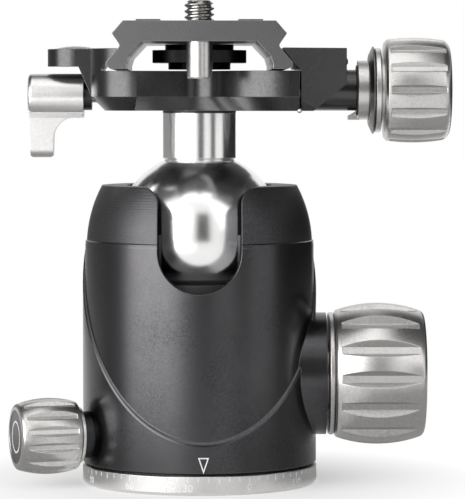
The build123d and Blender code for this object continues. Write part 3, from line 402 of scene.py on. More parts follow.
class Effects:
    """Node groups that several finishes share."""

    cloud_span = (0.3, 0.7)
    coarse_share = 0.4

    def __init__(self) -> None:
        """Builds each group once."""
        self.grain = self._grain()
        self.turning = self._turning()
        self.handling = self._handling()

    @staticmethod
    def _start(
        name: str, inputs: dict[str, tuple[str, Value]], outputs: dict[str, str]
    ) -> tuple[Graph, bpy.types.Node, bpy.types.Node]:
        """Opens a new group.

        Args:
            name: The group's name.
            inputs: Socket type and first value by name.
            outputs: Socket type by name.

        Returns:
            The graph, the group's input node and its output node.
        """
        tree = bpy.data.node_groups.new(name, "ShaderNodeTree")
        for key, (kind, value) in inputs.items():
            socket = tree.interface.new_socket(key, in_out="INPUT", socket_type=kind)
            socket.default_value = value
        for key, kind in outputs.items():
            tree.interface.new_socket(key, in_out="OUTPUT", socket_type=kind)
        graph = Graph(tree)
        into = tree.nodes.new("NodeGroupInput")
        out = tree.nodes.new("NodeGroupOutput")
        return graph, into, out

    def _grain(self) -> bpy.types.NodeTree:
        """Fine bead-blasted grain: a height and a speckle mask.

        Returns:
            The group.
        """
        graph, into, out = self._start(
            "blasted_grain",
            {"Vector": ("NodeSocketVector", (0, 0, 0)), "Scale": ("NodeSocketFloat", 9000.0)},
            {"Height": "NodeSocketFloat", "Speck": "NodeSocketFloat"},
        )
        where, scale = into.outputs[0], into.outputs[1]
        fine = graph.add(
            "TexNoise", None, {"Vector": where, "Scale": scale, "Detail": 3.0, "Roughness": 0.65}
        )
        larger = graph.sum("MULTIPLY", scale, self.coarse_share)
        coarse = graph.add("TexNoise", None, {"Vector": where, "Scale": larger, "Detail": 2.0})
        speck = graph.spread(coarse.outputs[0], *self.cloud_span, (0.0, 1.0))
        graph.tree.links.new(fine.outputs[0], out.inputs[0])
        graph.tree.links.new(speck, out.inputs[1])
        return graph.tree

    def _turning(self) -> bpy.types.NodeTree:
        """Circles that a lathe leaves about an axis, on the side and on the ends.

        Returns:
            The group.
        """
        graph, into, out = self._start(
            "turning_marks",
            {"Vector": ("NodeSocketVector", (0, 0, 0)),
             "Centre": ("NodeSocketVector", (0, 0, 0)),
             "Axis": ("NodeSocketVector", (0, 0, 1)),
             "Pitch": ("NodeSocketFloat", 0.0002),
             "Jitter": ("NodeSocketFloat", 0.5)},
            {"Height": "NodeSocketFloat"},
        )
        where, centre, axis, pitch, jitter = (into.outputs[index] for index in range(5))
        arm = graph.vector("SUBTRACT", where, centre).outputs[0]
        along = graph.vector("DOT_PRODUCT", arm, axis).outputs[1]
        part = graph.add("VectorMath", {"operation": "SCALE"}, {0: axis, 3: along})
        across = graph.vector("SUBTRACT", arm, part.outputs[0]).outputs[0]
        radius = graph.vector("LENGTH", across).outputs[1]
        place = graph.sum("DIVIDE", graph.sum("ADD", along, radius), pitch)
        wave = graph.sum("SINE", graph.sum("MULTIPLY", place, math.tau))
        uneven = graph.add("TexNoise", {"noise_dimensions": "1D"}, {"W": place, "Scale": 1.7})
        lift = graph.sum("SUBTRACT", uneven.outputs[0], 0.5)
        height = graph.sum("MULTIPLY_ADD", lift, jitter, graph.sum("MULTIPLY", wave, 0.5))
        graph.tree.links.new(height, out.inputs[0])
        return graph.tree

    def _handling(self) -> bpy.types.NodeTree:
        """Slow changes of gloss and shade over a surface that hands have touched.

        Returns:
            The group.
        """
        graph, into, out = self._start(
            "handling",
            {"Vector": ("NodeSocketVector", (0, 0, 0)),
             "Scale": ("NodeSocketFloat", 60.0),
             "Low": ("NodeSocketFloat", 0.3),
             "High": ("NodeSocketFloat", 0.4)},
            {"Roughness": "NodeSocketFloat", "Shade": "NodeSocketFloat"},
        )
        where, scale, low, high = (into.outputs[index] for index in range(4))
        cloud = graph.add(
            "TexNoise", None, {"Vector": where, "Scale": scale, "Detail": 4.0, "Roughness": 0.6}
        )
        mask = graph.spread(cloud.outputs[0], *self.cloud_span, (0.0, 1.0))
        rough = graph.sum("MULTIPLY_ADD", mask, graph.sum("SUBTRACT", high, low), low)
        graph.tree.links.new(rough, out.inputs[0])
        graph.tree.links.new(mask, out.inputs[1])
        return graph.tree


@dataclass(frozen=True)
class Lay:
    """The marks that turning leaves: their axis, a point on it, pitch and depth in millimetres.

    Where they lie only above a height, the surface there is as much more matt as is given.
    """

    axis: tuple[float, float, float]
    centre: tuple[float, float, float]
    pitch: float
    depth: float
    above: float | None = None
    matt: float = 0.0


@dataclass(frozen=True)
class Metal:
    """A metal finish: colour, gloss, grain and the look of its edges.

    An edge takes its own lighter colour, partly wear and partly a painted highlight, between the
    two values of edge_span, which say how well the flat normal agrees with the rounded one.
    Sizes are in millimetres.
    """

    name: str
    colour: Colour
    shade: Colour
    gloss: Range
    metallic: float = 1.0
    grain: float = 0.09
    grain_depth: float = 0.004
    edge: float = 0.12
    edge_samples: int = 6
    edge_colour: Colour | None = None
    edge_span: Range = (0.99, 0.9)
    lay: Lay | None = None

    def build(self, effects: Effects) -> bpy.types.Material:
        """Makes the material.

        Args:
            effects: The shared node groups.

        Returns:
            The material.
        """
        material, graph = Graph.material(self.name)
        where = graph.place()
        touch = graph.group(
            effects.handling,
            {"Vector": where, "Low": self.gloss[0], "High": self.gloss[1]},
        )
        grain = graph.group(effects.grain, {"Vector": where, "Scale": 1 / (self.grain * MM)})
        round_edge = graph.add(
            "Bevel", {"samples": self.edge_samples}, {"Radius": self.edge * MM}
        )
        normal = round_edge.outputs[0]
        rough = touch.outputs["Roughness"]
        if self.grain_depth:
            normal = graph.bump(self.grain_depth, grain.outputs["Height"], normal)
        colour = graph.blend(
            graph.sum("MULTIPLY", touch.outputs["Shade"], grain.outputs["Speck"]),
            (*self.colour, 1), (*self.shade, 1),
        )
        if self.lay:
            turned = graph.group(
                effects.turning,
                {"Vector": where, "Centre": [c * MM for c in self.lay.centre],
                 "Axis": self.lay.axis, "Pitch": self.lay.pitch * MM},
            )
            height = turned.outputs[0]
            if self.lay.above is not None:
                level = graph.add("SeparateXYZ", None, {0: where}).outputs[2]
                top = graph.sum("GREATER_THAN", level, self.lay.above * MM)
                height = graph.sum("MULTIPLY", height, top)
                rough = graph.sum("MULTIPLY_ADD", top, self.lay.matt, rough)
            normal = graph.bump(self.lay.depth, height, normal)
        # Edges turn lighter where the rounded normal leaves the flat one: partly wear, partly a
        # painted highlight.
        if self.edge_colour:
            flat = graph.add("NewGeometry").outputs["Normal"]
            meet = graph.vector("DOT_PRODUCT", flat, round_edge.outputs[0]).outputs[1]
            edge = graph.spread(meet, *self.edge_span, (0.0, 1.0))
            colour = graph.blend(edge, colour, (*self.edge_colour, 1))
        shader = graph.add(
            "BsdfPrincipled", None,
            {"Base Color": colour, "Metallic": self.metallic,
             "Roughness": rough, "Normal": normal},
        )
        graph.add("OutputMaterial", None, {"Surface": shader.outputs[0]})
        return material


@dataclass(frozen=True)
class Moulded:
    """A plastic, rubber or painted finish, with ribs of a given pitch in millimetres if any."""

    name: str
    colour: Colour
    shade: Colour
    gloss: Range
    grain: float = 0.15
    grain_depth: float = 0.01
    specular: float = 0.5
    rib_pitch: float = 0.0
    rib_share: float = 6.0
    touch_scale: float = 150.0

    def build(self, effects: Effects) -> bpy.types.Material:
        """Makes the material.

        Args:
            effects: The shared node groups.

        Returns:
            The material.
        """
        material, graph = Graph.material(self.name)
        where = graph.place()
        touch = graph.group(
            effects.handling,
            {"Vector": where, "Scale": self.touch_scale, "Low": self.gloss[0],
             "High": self.gloss[1]},
        )
        grain = graph.group(effects.grain, {"Vector": where, "Scale": 1 / (self.grain * MM)})
        normal = graph.bump(self.grain_depth, grain.outputs["Height"])
        if self.rib_pitch:
            along = graph.add("SeparateXYZ", None, {0: where}).outputs[1]
            wave = graph.sum("SINE", graph.sum("MULTIPLY", along, math.tau / self.rib_pitch / MM))
            normal = graph.bump(self.rib_pitch / self.rib_share, wave, normal)
        colour = graph.blend(
            graph.sum("MULTIPLY", touch.outputs["Shade"], grain.outputs["Speck"]),
            (*self.colour, 1), (*self.shade, 1),
        )
        shader = graph.add(
            "BsdfPrincipled", None,
            {"Base Color": colour, "Roughness": touch.outputs["Roughness"],
             "Specular IOR Level": self.specular, "Normal": normal},
        )
        graph.add("OutputMaterial", None, {"Surface": shader.outputs[0]})
        return material


@dataclass(frozen=True)
class Clear:
    """Glass, liquid or the air bubble in it."""

    name: str
    colour: Colour
    ior: float
    gloss: Range = (0.02, 0.06)
    touch_scale: float = 300.0

    def build(self, effects: Effects) -> bpy.types.Material:
        """Makes the material, with a faint smear in its gloss.

        Args:
            effects: The shared node groups.

        Returns:
            The material.
        """
        material, graph = Graph.material(self.name)
        touch = graph.group(
            effects.handling,
            {"Vector": graph.place(), "Scale": self.touch_scale, "Low": self.gloss[0],
             "High": self.gloss[1]},
        )
        shader = graph.add(
            "BsdfPrincipled", None,
            {"Base Color": (*self.colour, 1), "IOR": self.ior, "Transmission Weight": 1.0,
             "Roughness": touch.outputs["Roughness"]},
        )
        graph.add("OutputMaterial", None, {"Surface": shader.outputs[0]})
        return material


# ------------------------------------------------------------------ studio
@dataclass(frozen=True)
class Viewpoint:
    """The camera: its distance from the head's axis, its height, aim, lens and sensor."""

    distance: float = 0.626
    height: float = 0.0827
    azimuth: float = 0.0
    yaw: float = 0.646
    pitch: float = 3.02
    focal: float = 211.4
    sensor: float = 36.0
    clip: Range = (0.05, 20.0)

    def build(self) -> None:
        """Makes the camera and gives it to the scene."""
        data = bpy.data.cameras.new("camera")
        data.lens, data.sensor_width, data.sensor_fit = self.focal, self.sensor, "AUTO"
        data.clip_start, data.clip_end = self.clip
        camera = bpy.data.objects.new("camera", data)
        turn = math.radians(self.azimuth)
        camera.location = (
            self.distance * math.sin(turn), -self.distance * math.cos(turn), self.height
        )
        camera.rotation_euler = (
            math.radians(90 - self.pitch), 0, math.radians(self.azimuth - self.yaw)
        )
        bpy.context.scene.collection.objects.link(camera)
        bpy.context.scene.camera = camera


@dataclass(frozen=True)
class Panel:
    """A lamp or a card on a stand: where it stands, how large it is and how bright."""

    name: str
    azimuth: float
    elevation: float
    distance: float
    width: float
    height: float
    level: float

    def place(self) -> Matrix:
        """The panel's frame, facing the head.

        Returns:
            The frame.
        """
        turn, rise = math.radians(self.azimuth), math.radians(self.elevation)
        out = Vector((
            math.sin(turn) * math.cos(rise), -math.cos(turn) * math.cos(rise), math.sin(rise)
        ))
        spin = out.to_track_quat("Z", "Y").to_matrix().to_4x4()
        return Matrix.Translation(Vector((0, 0, AIM_HEIGHT)) + out * self.distance) @ spin

    def lamp(self) -> None:
        """Hangs a soft rectangular lamp there."""
        data = bpy.data.lights.new(self.name, "AREA")
        data.shape, data.size, data.size_y = "RECTANGLE", self.width, self.height
        data.energy = self.level * math.pi * self.width * self.height
        lamp = bpy.data.objects.new(self.name, data)
        lamp.matrix_world = self.place()
        bpy.context.scene.collection.objects.link(lamp)

    def card(self, place: Matrix | None = None) -> None:
        """Stands a card there that glows at its level and that only reflections show.

        Args:
            place: Another frame to put the card in.
        """
        Bench.clear()
        bpy.ops.mesh.primitive_plane_add(size=1)
        card = bpy.context.object
        card.name = self.name
        stand = place or self.place()
        card.data.transform(stand @ Matrix.Diagonal((self.width, self.height, 1, 1)))
        material, graph = Graph.material(self.name)
        face = graph.add("Emission", None, {0: (self.level, self.level, self.level, 1), 1: 1.0})
        graph.add("OutputMaterial", None, {0: face.outputs[0]})
        card.data.materials.append(material)
        for ray in ("camera", "diffuse", "transmission", "shadow", "volume_scatter"):
            setattr(card, "visible_" + ray, False)


@dataclass(frozen=True)
class Mat:
    """A card laid on the floor beside the head that only reflections show."""

    name: str
    azimuth: float
    near: float
    far: float
    width: float
    level: float
    lift: float = 0.0003

    def lay(self) -> None:
        """Lays the mat down with its length pointing away from the head."""
        middle = (self.near + self.far) / 2
        turn = Matrix.Rotation(math.radians(self.azimuth), 4, "Z")
        mat = Panel(self.name, 0, 0, 0, self.width, self.far - self.near, self.level)
        mat.card(turn @ Matrix.Translation((0, -middle, self.lift)))


class Studio:
    """The floor, the white surround, the lamps, and the cards that the metal mirrors."""

    lamps = (
        Panel("left_softbox", -47, 14, 0.9, 0.97, 0.8, 4.5),
        Panel("right_softbox", 52, 32, 0.9, 0.8, 0.7, 0.6),
        Panel("top_softbox", -10, 74, 0.8, 0.6, 0.6, 0.8),
    )
    cards = (
        Panel("front_gap", 4.5, 4, 0.62, 0.2, 0.7, 0.02),
        Panel("right_slot", 43, 2, 0.62, 0.16, 0.24, 0.02),
        Panel("left_flag", -122, -2, 0.35, 0.58, 0.25, 0.3),
        Panel("right_flag", 119, -2, 0.35, 0.6, 0.25, 0.02),
        Panel("left_sky", -112, 50, 0.45, 0.62, 0.5, 0.06),
        Panel("right_sky", 100, 50, 0.45, 0.7, 0.5, 0.06),
    )
    # The bounce board glows like a lamp lying on the floor, a painted highlight that only
    # reflections show; the side mats are grey sheets of painted shade on the floor beside the
    # base, seen only in reflections.
    mats = (
        Mat("bounce_board", -47, 0.2, 0.8, 0.36, 4.2, 0.0002),
        Mat("left_mat", -90, 0.027, 0.32, 0.15, 0.4),
        Mat("right_mat", 90, 0.027, 0.32, 0.15, 0.4),
    )
    fill = 0.22
    white = (1, 1, 1, 1)
    floor_grey = (0.85, 0.85, 0.85, 1)
    floor_radius = 6
    floor_corners = 96
    shadow_reach = (0.026, 0.062)
    shadow_share = 0.5

    @staticmethod
    def _shown(graph: Graph) -> bpy.types.NodeSocket:
        """Is this a ray from the camera, a reflection or something seen through glass.

        Args:
            graph: The graph that asks.

        Returns:
            1 for such a ray.
        """
        path = graph.add("LightPath").outputs
        seen = graph.sum("MAXIMUM", path["Is Camera Ray"], path["Is Glossy Ray"])
        return graph.sum("MAXIMUM", seen, path["Is Transmission Ray"])

    def surround(self) -> None:
        """A white world that lights the head softly."""
        world = bpy.data.worlds.new("surround")
        world.use_nodes = True
        bpy.context.scene.world = world
        graph = Graph(world.node_tree)
        fill = graph.add("Background", None, {0: self.white, 1: self.fill})
        white = graph.add("Background", None, {0: self.white, 1: 1.0})
        both = graph.add(
            "MixShader", None, {0: self._shown(graph), 1: fill.outputs[0], 2: white.outputs[0]}
        )
        graph.add("OutputWorld", None, {0: both.outputs[0]})

    def floor(self) -> None:
        """A pale floor that keeps a trace of the head's shadow."""
        Bench.clear()
        bpy.ops.mesh.primitive_circle_add(
            vertices=self.floor_corners, radius=self.floor_radius, fill_type="NGON"
        )
        floor = bpy.context.object
        floor.name = "floor"
        material, graph = Graph.material("pale_floor")
        matt = graph.add("BsdfDiffuse", None, {0: self.floor_grey})
        white = graph.add("Emission", None, {0: self.white, 1: 1.0})
        far = graph.vector("LENGTH", graph.place()).outputs[1]
        fade = graph.spread(far, *self.shadow_reach, (self.shadow_share, 1.0))
        share = graph.sum("MULTIPLY", self._shown(graph), fade)
        both = graph.add("MixShader", None, {0: share, 1: matt.outputs[0], 2: white.outputs[0]})
        graph.add("OutputMaterial", None, {0: both.outputs[0]})
        floor.data.materials.append(material)

    def build(self) -> None:
        """Sets the whole studio up."""
        self.surround()
        self.floor()
        for panel in self.lamps:
            panel.lamp()
        for panel in self.cards:
            panel.card()
        for mat in self.mats:
            mat.lay()
        bpy.context.scene.view_settings.view_transform = "Standard"


# ------------------------------------------------------------------ the head
@dataclass
class Head:
    """What every sub-assembly needs: the loaded solids, the joints and the finishes."""

    nodes: dict[str, bpy.types.Object]
    joints: dict[str, dict]
    finishes: dict[str, bpy.types.Material] = field(default_factory=dict)

    def dress(self, finish: str, *names: str) -> None:
        """Gives solids a finish.

        Args:
            finish: The finish.
            *names: The solids' names.
        """
        for name in names:
            node = self.nodes[name]
            if not node.data.materials:
                node.data.materials.append(None)
            for index in range(len(node.data.materials)):
                node.data.materials[index] = self.finishes[finish]

    def add(
        self, piece: bpy.types.Object, body: str, finish: str, slot: str, stands_for: str = ""
    ) -> None:
        """Takes a new piece into the head.

        Args:
            piece: The finished piece.
            body: The moving body it belongs to.
            finish: Its finish.
            slot: The record's material slot; it is not used.
            stands_for: The solid that it replaces, if any.
        """
        piece.data.materials.clear()
        piece.data.materials.append(self.finishes[finish])
        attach(piece, body)
        if stands_for:
            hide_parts(stands_for)
        LOG.info("%s: %d faces on %s", piece.name, len(piece.data.polygons), body)


@dataclass
class HousingShell:
    """The housing, with the sharp lip at its turned groove dressed back round the front.

    The lip is a few circles of points between two heights. Those within front_half degrees of
    the front are drawn in, circle by circle, and keep a share of what they stand proud of the
    groove's floor. The outermost circle lands on the innermost and is drawn in again with it,
    which leaves both flush with the wall below.
    """

    groove_floor: float = 24.35
    lip_levels: Range = (50.98, 51.09)
    lip_radii: tuple[float, ...] = (24.95, 24.8, 24.65, 24.5)
    ring_width: float = 0.03
    kept_share: float = 0.25
    front_half: float = 101.0

    def on_lip(self, place: Vector, radius: float) -> bool:
        """Says whether a point is on the lip's front, at a radius in millimetres.

        Args:
            place: The point.
            radius: The radius asked about.

        Returns:
            Whether it is there.
        """
        low, high = self.lip_levels
        out = math.hypot(place.x, place.y) / MM
        azimuth = math.degrees(math.atan2(abs(place.x), -place.y))
        near = abs(out - radius) < self.ring_width
        return low < place.z / MM < high and near and azimuth < self.front_half

    def build(self, head: Head) -> None:
        """Makes and dresses the shell.

        Args:
            head: The head it belongs to.
        """
        shell = Bench.again(head.nodes["housing"], [Matrix.Identity(4)])[0]
        shell.name = "housing_shell"
        Bench.take_all(shell)
        bpy.ops.mesh.remove_doubles(threshold=HAIR, use_sharp_edge_from_normals=True)
        for radius in self.lip_radii:
            if Bench.pick(lambda place, at=radius: self.on_lip(place, at)):
                kept = self.groove_floor + (radius - self.groove_floor) * self.kept_share
                share = kept / radius
                bpy.ops.transform.resize(value=(share, share, 1), center_override=(0, 0, 0))
        Bench.clear()
        head.add(shell, "housing", "black_blasted", "black_anodised", "housing")


@dataclass
class PanScale:
    """The graduated ring of the pan base and the index on the housing."""

    radius: float = 25.0
    top: float = 3.85
    zero: float = 24.4
    long_mark: float = 1.2
    short_mark: float = 0.85
    mark_width: float = 0.2
    mark_proud: float = 0.03
    mark_corners: int = 8
    mark_step: int = 5
    long_every: int = 3
    figure_step: int = 30
    capital_share: float = 0.7
    figure_height: float = 1.5
    figure_middle: float = 1.55
    figure_curve: int = 3
    index_azimuth: float = 1.84
    index_width: float = 2.3
    index_top: float = 7.95
    index_tip: float = 4.6
    index_radius: float = 24.95
    index_sunk: float = 0.04
    index_proud: float = 0.02
    index_line: float = 0.26

    def round_to(self, azimuth: float) -> Matrix:
        """The turn that carries a mark from the front to an azimuth."""
        return Matrix.Rotation(math.radians(azimuth), 4, "Z")

    def mark(self, name: str, length: float) -> bpy.types.Object:
        """One filled line at the front of the ring, with rounded ends.

        Args:
            name: The piece's name.
            length: Its length in millimetres.

        Returns:
            The mark.
        """
        Bench.clear()
        middle = (self.top - self.mark_width) * MM
        bpy.ops.mesh.primitive_cylinder_add(
            vertices=self.mark_corners, radius=self.mark_width / 2 * MM,
            depth=2 * self.mark_proud * MM, location=(0, -self.radius * MM, middle),
            rotation=(math.radians(90), 0, 0),
        )
        piece = Bench.settle(name)
        Bench.take(piece, edit=True)
        Bench.pick(lambda place: place.z < middle + HAIR)
        bpy.ops.transform.translate(value=(0, 0, -(length - self.mark_width) * MM))
        bpy.ops.object.mode_set(mode="OBJECT")
        return piece

    def marks(self) -> bpy.types.Object:
        """The ring's marks, one every five degrees and longer at every fifteen.

        Returns:
            The marks.
        """
        short = self.mark("short_mark", self.short_mark)
        long = self.mark("long_mark", self.long_mark)
        marks = []
        for step in range(360 // self.mark_step):
            model = short if step % self.long_every else long
            marks += Bench.again(model, [self.round_to(self.zero + self.mark_step * step)])
        bpy.data.objects.remove(short)
        bpy.data.objects.remove(long)
        return Bench.join("scale_marks", marks)

    def figures(self) -> bpy.types.Object:
        """The numbers of degrees, one under every other long mark.

        Returns:
            The figures.
        """
        front = Matrix.Translation((0, -self.radius * MM, self.figure_middle * MM))
        figures = []
        for value in range(0, 360, self.figure_step):
            Bench.clear()
            bpy.ops.object.text_add()
            text = bpy.context.object
            text.data.body = str(value)
            text.data.align_x = text.data.align_y = "CENTER"
            text.data.size = self.figure_height / self.capital_share * MM
            text.data.extrude = self.mark_proud * MM
            text.data.resolution_u = self.figure_curve
            bpy.ops.object.convert(target="MESH")
            text.data.transform(self.round_to(self.zero - value) @ front @ UPRIGHT)
            figures.append(text)
        return Bench.join("scale_figures", figures)

    def index(self) -> bpy.types.Object:
        """The open triangle on the housing that points at the scale.

        Returns:
            The triangle.
        """
        sunk = Matrix.Translation((0, -(self.index_radius - self.index_sunk) * MM, 0))
        place = sunk @ UPRIGHT
        half = self.index_width / 2
        outline = ((-half, self.index_top), (half, self.index_top), (0, self.index_tip))
        points = [place @ Vector((x * MM, y * MM, 0)) for x, y in outline]
        piece = Bench.line("index_mark", points, closed=True)
        Bench.take_all(piece)
        bpy.ops.mesh.edge_face_add()
        bpy.ops.mesh.select_mode(type="FACE")
        bpy.ops.mesh.inset(thickness=self.index_line * MM, depth=0)
        bpy.ops.mesh.delete(type="FACE")
        bpy.ops.mesh.select_all(action="SELECT")
        out = (0, -(self.index_sunk + self.index_proud) * MM, 0)
        bpy.ops.mesh.extrude_region_move(TRANSFORM_OT_translate={"value": out})
        Bench.tidy(piece)
        piece.data.transform(self.round_to(self.index_azimuth))
        return piece

    def build(self, head: Head) -> None:
        """Makes and dresses the scale and the index.

        Args:
            head: The head it belongs to.
        """
        head.add(self.marks(), "base", "white_ink", "silver")
        head.add(self.figures(), "base", "white_ink", "silver")
        head.add(self.index(), "housing", "white_ink", "black_anodised")


@dataclass
class CameraScrew:
    """The threaded stud on the plate: a necked core and a ridge that sinks into it."""

    radius: float = 3.175
    root: float = 2.5
    pitch: float = 1.27
    foot: float = 92.2
    relief: float = 2.9
    seat: float = 97.8
    top: float = 102.8
    neck: Range = (0.6, 0.2)
    chamfer: float = 0.35
    sunk: float = 0.15
    crest_share: float = 0.1
    lead_share: float = 0.9
    first_ridge: float = 0.05
    spare: float = 0.1
    sharp: float = 40
    steps: int = 64

    def core(self) -> bpy.types.Object:
        """The stud's shank and core, with a chamfered end.

        Returns:
            The core.
        """
        start, end = self.neck
        outline = (
            (self.foot, 0), (self.foot, self.relief), (self.seat - start, self.relief),
            (self.seat - end, self.root), (self.top - self.chamfer, self.root),
            (self.top, self.root - self.chamfer), (self.top, 0),
        )
        return Bench.turn("stud_thread", outline, Matrix.Identity(4), self.steps)

    def ridge(self) -> bpy.types.Object:
        """The thread's ridge, wound round the core and trimmed by the end chamfer.

        Returns:
            The ridge.
        """
        deep, crest = self.root - self.sunk, self.radius
        flat = self.pitch * self.crest_share
        base = self.seat - self.pitch * self.lead_share
        section = (
            (base, deep), (base + self.pitch / 2 - flat, crest),
            (base + self.pitch / 2 + flat, crest), (base + self.pitch, deep),
        )
        points = [Vector((radius * MM, 0, along * MM)) for along, radius in section]
        ridge = Bench.line("ridge", points, closed=True)
        turns = (self.top + self.pitch - self.seat) / self.pitch
        Bench.apply(
            ridge, "SCREW", angle=math.tau, screw_offset=self.pitch * MM, axis="Z",
            iterations=math.ceil(turns), steps=self.steps, render_steps=self.steps,
            use_merge_vertices=True, merge_threshold=Bench.line_weld,
        )
        Bench.take_all(ridge)
        bpy.ops.mesh.fill_holes(sides=2 * len(section))
        Bench.tidy(ridge)
        low, wide = self.seat + self.first_ridge, self.radius + self.spare
        slope = self.top - (crest - deep) - self.spare
        outline = ((low, 0), (low, wide), (slope, wide), (self.top, deep), (self.top, 0))
        envelope = Bench.turn("envelope", outline, Matrix.Identity(4), self.steps)
        Bench.combine(ridge, envelope, Join.KEEP)
        return ridge

    def build(self, head: Head) -> None:
        """Makes and dresses the stud.

        Args:
            head: The head it belongs to.
        """
        core = self.core()
        Bench.combine(core, self.ridge(), Join.ADD)
        Bench.tidy(core)
        Bench.facet(core)
        Bench.shade(core, self.sharp)
        head.add(core, "camera_screw", "turned_steel", "steel", "camera_stud")


@dataclass
class BubbleLevel:
    """The bubble of the round level beside the clamp, and its printed ring."""

    centre_x: float = -26.3
    top: float = 92.4
    bubble_radius: float = 1.5
    bubble_flat: float = 0.21
    bubble_drop: float = 0.78
    bubble_rows: int = 16
    ring_radius: float = 2.15
    ring_width: float = 0.22
    ring_lift: float = 0.545
    ring_thick: float = 0.02
    ring_fall: float = 0.04
    steps: int = 48

    def bubble(self) -> bpy.types.Object:
        """The flattened air bubble under the glass.

        Returns:
            The bubble.
        """
        Bench.clear()
        middle = Vector((self.centre_x, 0, self.top - self.bubble_drop)) * MM
        bpy.ops.mesh.primitive_uv_sphere_add(
            segments=2 * self.bubble_rows, ring_count=self.bubble_rows,
            radius=self.bubble_radius * MM, location=middle,
        )
        bubble = Bench.settle("level_bubble")
        Bench.take_all(bubble)
        bpy.ops.transform.resize(value=(1, 1, self.bubble_flat), center_override=middle)
        bpy.ops.object.mode_set(mode="OBJECT")
        Bench.shade(bubble)
        return bubble

    def ring(self) -> bpy.types.Object:
        """The printed ring that the bubble is centred in.

        Returns:
            The ring.
        """
        inner, outer = self.ring_radius - self.ring_width, self.ring_radius
        high, low = self.ring_lift, self.ring_lift - self.ring_fall
        outline = (
            (high, inner), (high + self.ring_thick, inner), (low + self.ring_thick, outer),
            (low, outer),
        )
        place = lathe(self.centre_x, 0, self.top, (0, 0, 1))
        ring = Bench.turn("level_ring", outline, place, self.steps, closed=True)
        Bench.shade(ring)
        return ring

    def build(self, head: Head) -> None:
        """Makes and dresses the bubble and its ring.

        Args:
            head: The head it belongs to.
        """
        head.add(self.bubble(), "clamp", "air_bubble", "liquid")
        head.add(self.ring(), "clamp", "black_ink", "polymer")


@dataclass
class PanCapRing:
    """The plain ring printed on the cap of the pan lock knob."""

    height: float = 10.8
    radius: float = 3.4
    width: float = 0.34
    proud: float = 0.03
    steps: int = 64

    def build(self, head: Head) -> None:
        """Makes and dresses the ring on the cap's face.

        Args:
            head: The head it belongs to.
        """
        axis = Vector(head.joints["pan_lock_turn"]["axis"]).normalized()
        cap = head.nodes["pan_cap"].data.vertices
        face = max(vertex.co.dot(axis) for vertex in cap) / MM
        inner = self.radius - self.width
        outline = (
            (-self.proud, inner), (self.proud, inner), (self.proud, self.radius),
            (-self.proud, self.radius),
        )
        x, y, _ = axis * face
        place = lathe(x, y, self.height, axis)
        ring = Bench.turn("pan_cap_ring", outline, place, self.steps, closed=True)
        Bench.shade(ring)
        head.add(ring, "pan_knob", "white_ink", "silver")


@dataclass
class ClampTrim:
    """The small dowel that shows at the foot of the gap between clamp and moving jaw."""

    place: tuple[float, float, float] = (20.62, -22.9, 79.5)
    radius: float = 0.55
    length: float = 1.4
    dome_steps: int = 6
    steps: int = 24

    def build(self, head: Head) -> None:
        """Turns the dowel with a domed end and dresses it.

        Args:
            head: The head it belongs to.
        """
        x, y, z = self.place
        dome = arc((-self.length, 0), self.radius, 0, 90, self.dome_steps)
        outline = [(along + self.length, radius) for along, radius in dome] + [
            (-self.length, self.radius), (-self.length, 0)
        ]
        dowel = Bench.turn("gap_dowel", outline, lathe(x, y, z, (0, -1, 0)), self.steps)
        Bench.shade(dowel)
        head.add(dowel, "clamp", "satin_silver", "silver")


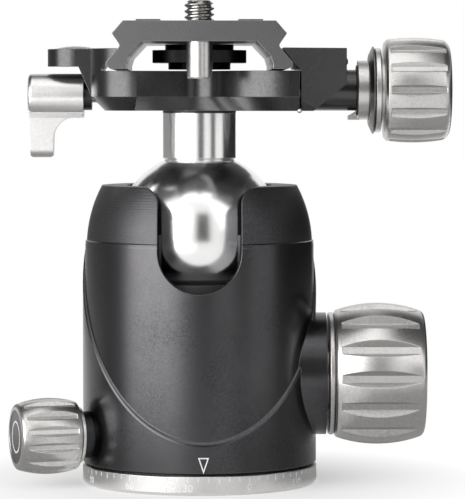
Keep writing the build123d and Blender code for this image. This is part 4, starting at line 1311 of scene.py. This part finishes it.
def finishes(effects: Effects) -> dict[str, bpy.types.Material]:
    """Builds every finish of the head.

    Args:
        effects: The shared node groups.

    Returns:
        The materials by name.
    """
    collar_lay = Lay((0, 0, 1), (0, 0, 0), 0.35, 0.012, above=52.0, matt=0.18)
    # The edge colours of the three blasted finishes are lighter than their bodies: partly wear,
    # partly a painted highlight on the edges.
    table = (
        Metal("black_blasted", (0.076, 0.075, 0.078), (0.042, 0.041, 0.044), (0.23, 0.29),
              grain=0.16, grain_depth=0.006, edge=0.25, lay=collar_lay,
              edge_colour=(0.12, 0.12, 0.122)),
        Metal("grey_blasted", (0.078, 0.077, 0.078), (0.05, 0.049, 0.05), (0.24, 0.3),
              grain=0.16, grain_depth=0.006, edge=0.2, edge_colour=(0.14, 0.14, 0.14)),
        Metal("plate_blasted", (0.2, 0.2, 0.202), (0.15, 0.15, 0.152), (0.3, 0.36),
              grain=0.16, grain_depth=0.007, edge=0.2, edge_colour=(0.3, 0.3, 0.3)),
        Metal("satin_silver", (0.62, 0.607, 0.596), (0.43, 0.42, 0.41), (0.26, 0.34),
              grain=0.22, grain_depth=0.018, edge=0.2),
        Metal("bright_satin", (0.68, 0.67, 0.66), (0.58, 0.57, 0.56), (0.26, 0.33),
              grain=0.2, grain_depth=0.008, edge=0.12),
        Metal("polished_chrome", (0.88, 0.875, 0.87), (0.82, 0.815, 0.81), (0.18, 0.22),
              grain=0.18, grain_depth=0.003, edge=0.15),
        Metal("turned_steel", (0.42, 0.41, 0.4), (0.34, 0.33, 0.32), (0.2, 0.3),
              grain_depth=0.002, edge=0.08),
        Metal("black_oxide", (0.045, 0.045, 0.047), (0.03, 0.03, 0.032), (0.3, 0.4),
              edge=0.12),
        Metal("dark_satin", (0.16, 0.16, 0.165), (0.13, 0.13, 0.135), (0.3, 0.38), edge=0.1),
        Metal("turned_brass", (0.7, 0.53, 0.26), (0.6, 0.43, 0.2), (0.25, 0.35), edge=0.1),
        Moulded("black_polymer", (0.02, 0.02, 0.021), (0.014, 0.014, 0.015), (0.35, 0.5)),
        Moulded("dark_liner", (0.028, 0.028, 0.03), (0.02, 0.02, 0.021), (0.35, 0.45)),
        Moulded("grip_rubber", (0.1, 0.1, 0.1), (0.08, 0.08, 0.08), (0.6, 0.75),
                grain_depth=0.03, rib_pitch=1.2),
        Moulded("white_ink", (0.82, 0.82, 0.82), (0.76, 0.76, 0.76), (0.4, 0.5)),
        Moulded("black_ink", (0.012, 0.012, 0.012), (0.02, 0.02, 0.02), (0.4, 0.5)),
        Clear("vial_glass", (0.97, 0.99, 0.97), 1.49),
        Clear("level_liquid", (0.7, 0.92, 0.25), 1.36),
        Clear("air_bubble", (0.98, 1.0, 0.98), 0.74),
    )
    return {finish.name: finish.build(effects) for finish in table}


def dress_solids(head: Head, subparts: Sequence[dict]) -> None:
    """Gives every solid its finish, by the record's slots.

    Args:
        head: The head.
        subparts: The record's rows, one for each solid.
    """
    by_slot = {
        "silver": "satin_silver", "black_anodised": "black_blasted",
        "grey_anodised": "grey_blasted", "plate_grey": "plate_blasted",
        "polished": "polished_chrome", "steel": "turned_steel", "black_steel": "black_oxide",
        "brass": "turned_brass", "polymer": "black_polymer", "liner": "dark_liner",
        "pad": "grip_rubber", "vial": "vial_glass", "liquid": "level_liquid",
    }
    for part in subparts:
        head.dress(by_slot[part["material_slot"]], part["node"])
    head.dress("dark_satin", "dark_ring", "pan_cap")
    head.dress("bright_satin", "base_plate", "lever", "light_ring")


def main(nodes: dict[str, bpy.types.Object], record: dict) -> None:
    """Builds the studio and every sub-assembly in order.

    Args:
        nodes: The loaded solids by name.
        record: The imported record.
    """
    logging.basicConfig(level=logging.INFO, format="%(name)s: %(message)s")
    Viewpoint().build()
    Studio().build()
    joints = {joint["name"]: joint for joint in record["behaviour"]["joints"]}
    head = Head(nodes, joints, finishes(Effects()))
    dress_solids(head, record["subparts"])
    sub_assemblies = (
        HousingShell(), PanScale(), PanCapRing(), CameraScrew(), BubbleLevel(), ClampTrim(),
    )
    for assembly in sub_assemblies:
        assembly.build(head)
        LOG.info("%s done", type(assembly).__name__)


if __name__ == "__main__":
    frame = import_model()
    main(frame["nodes"], frame["record"])
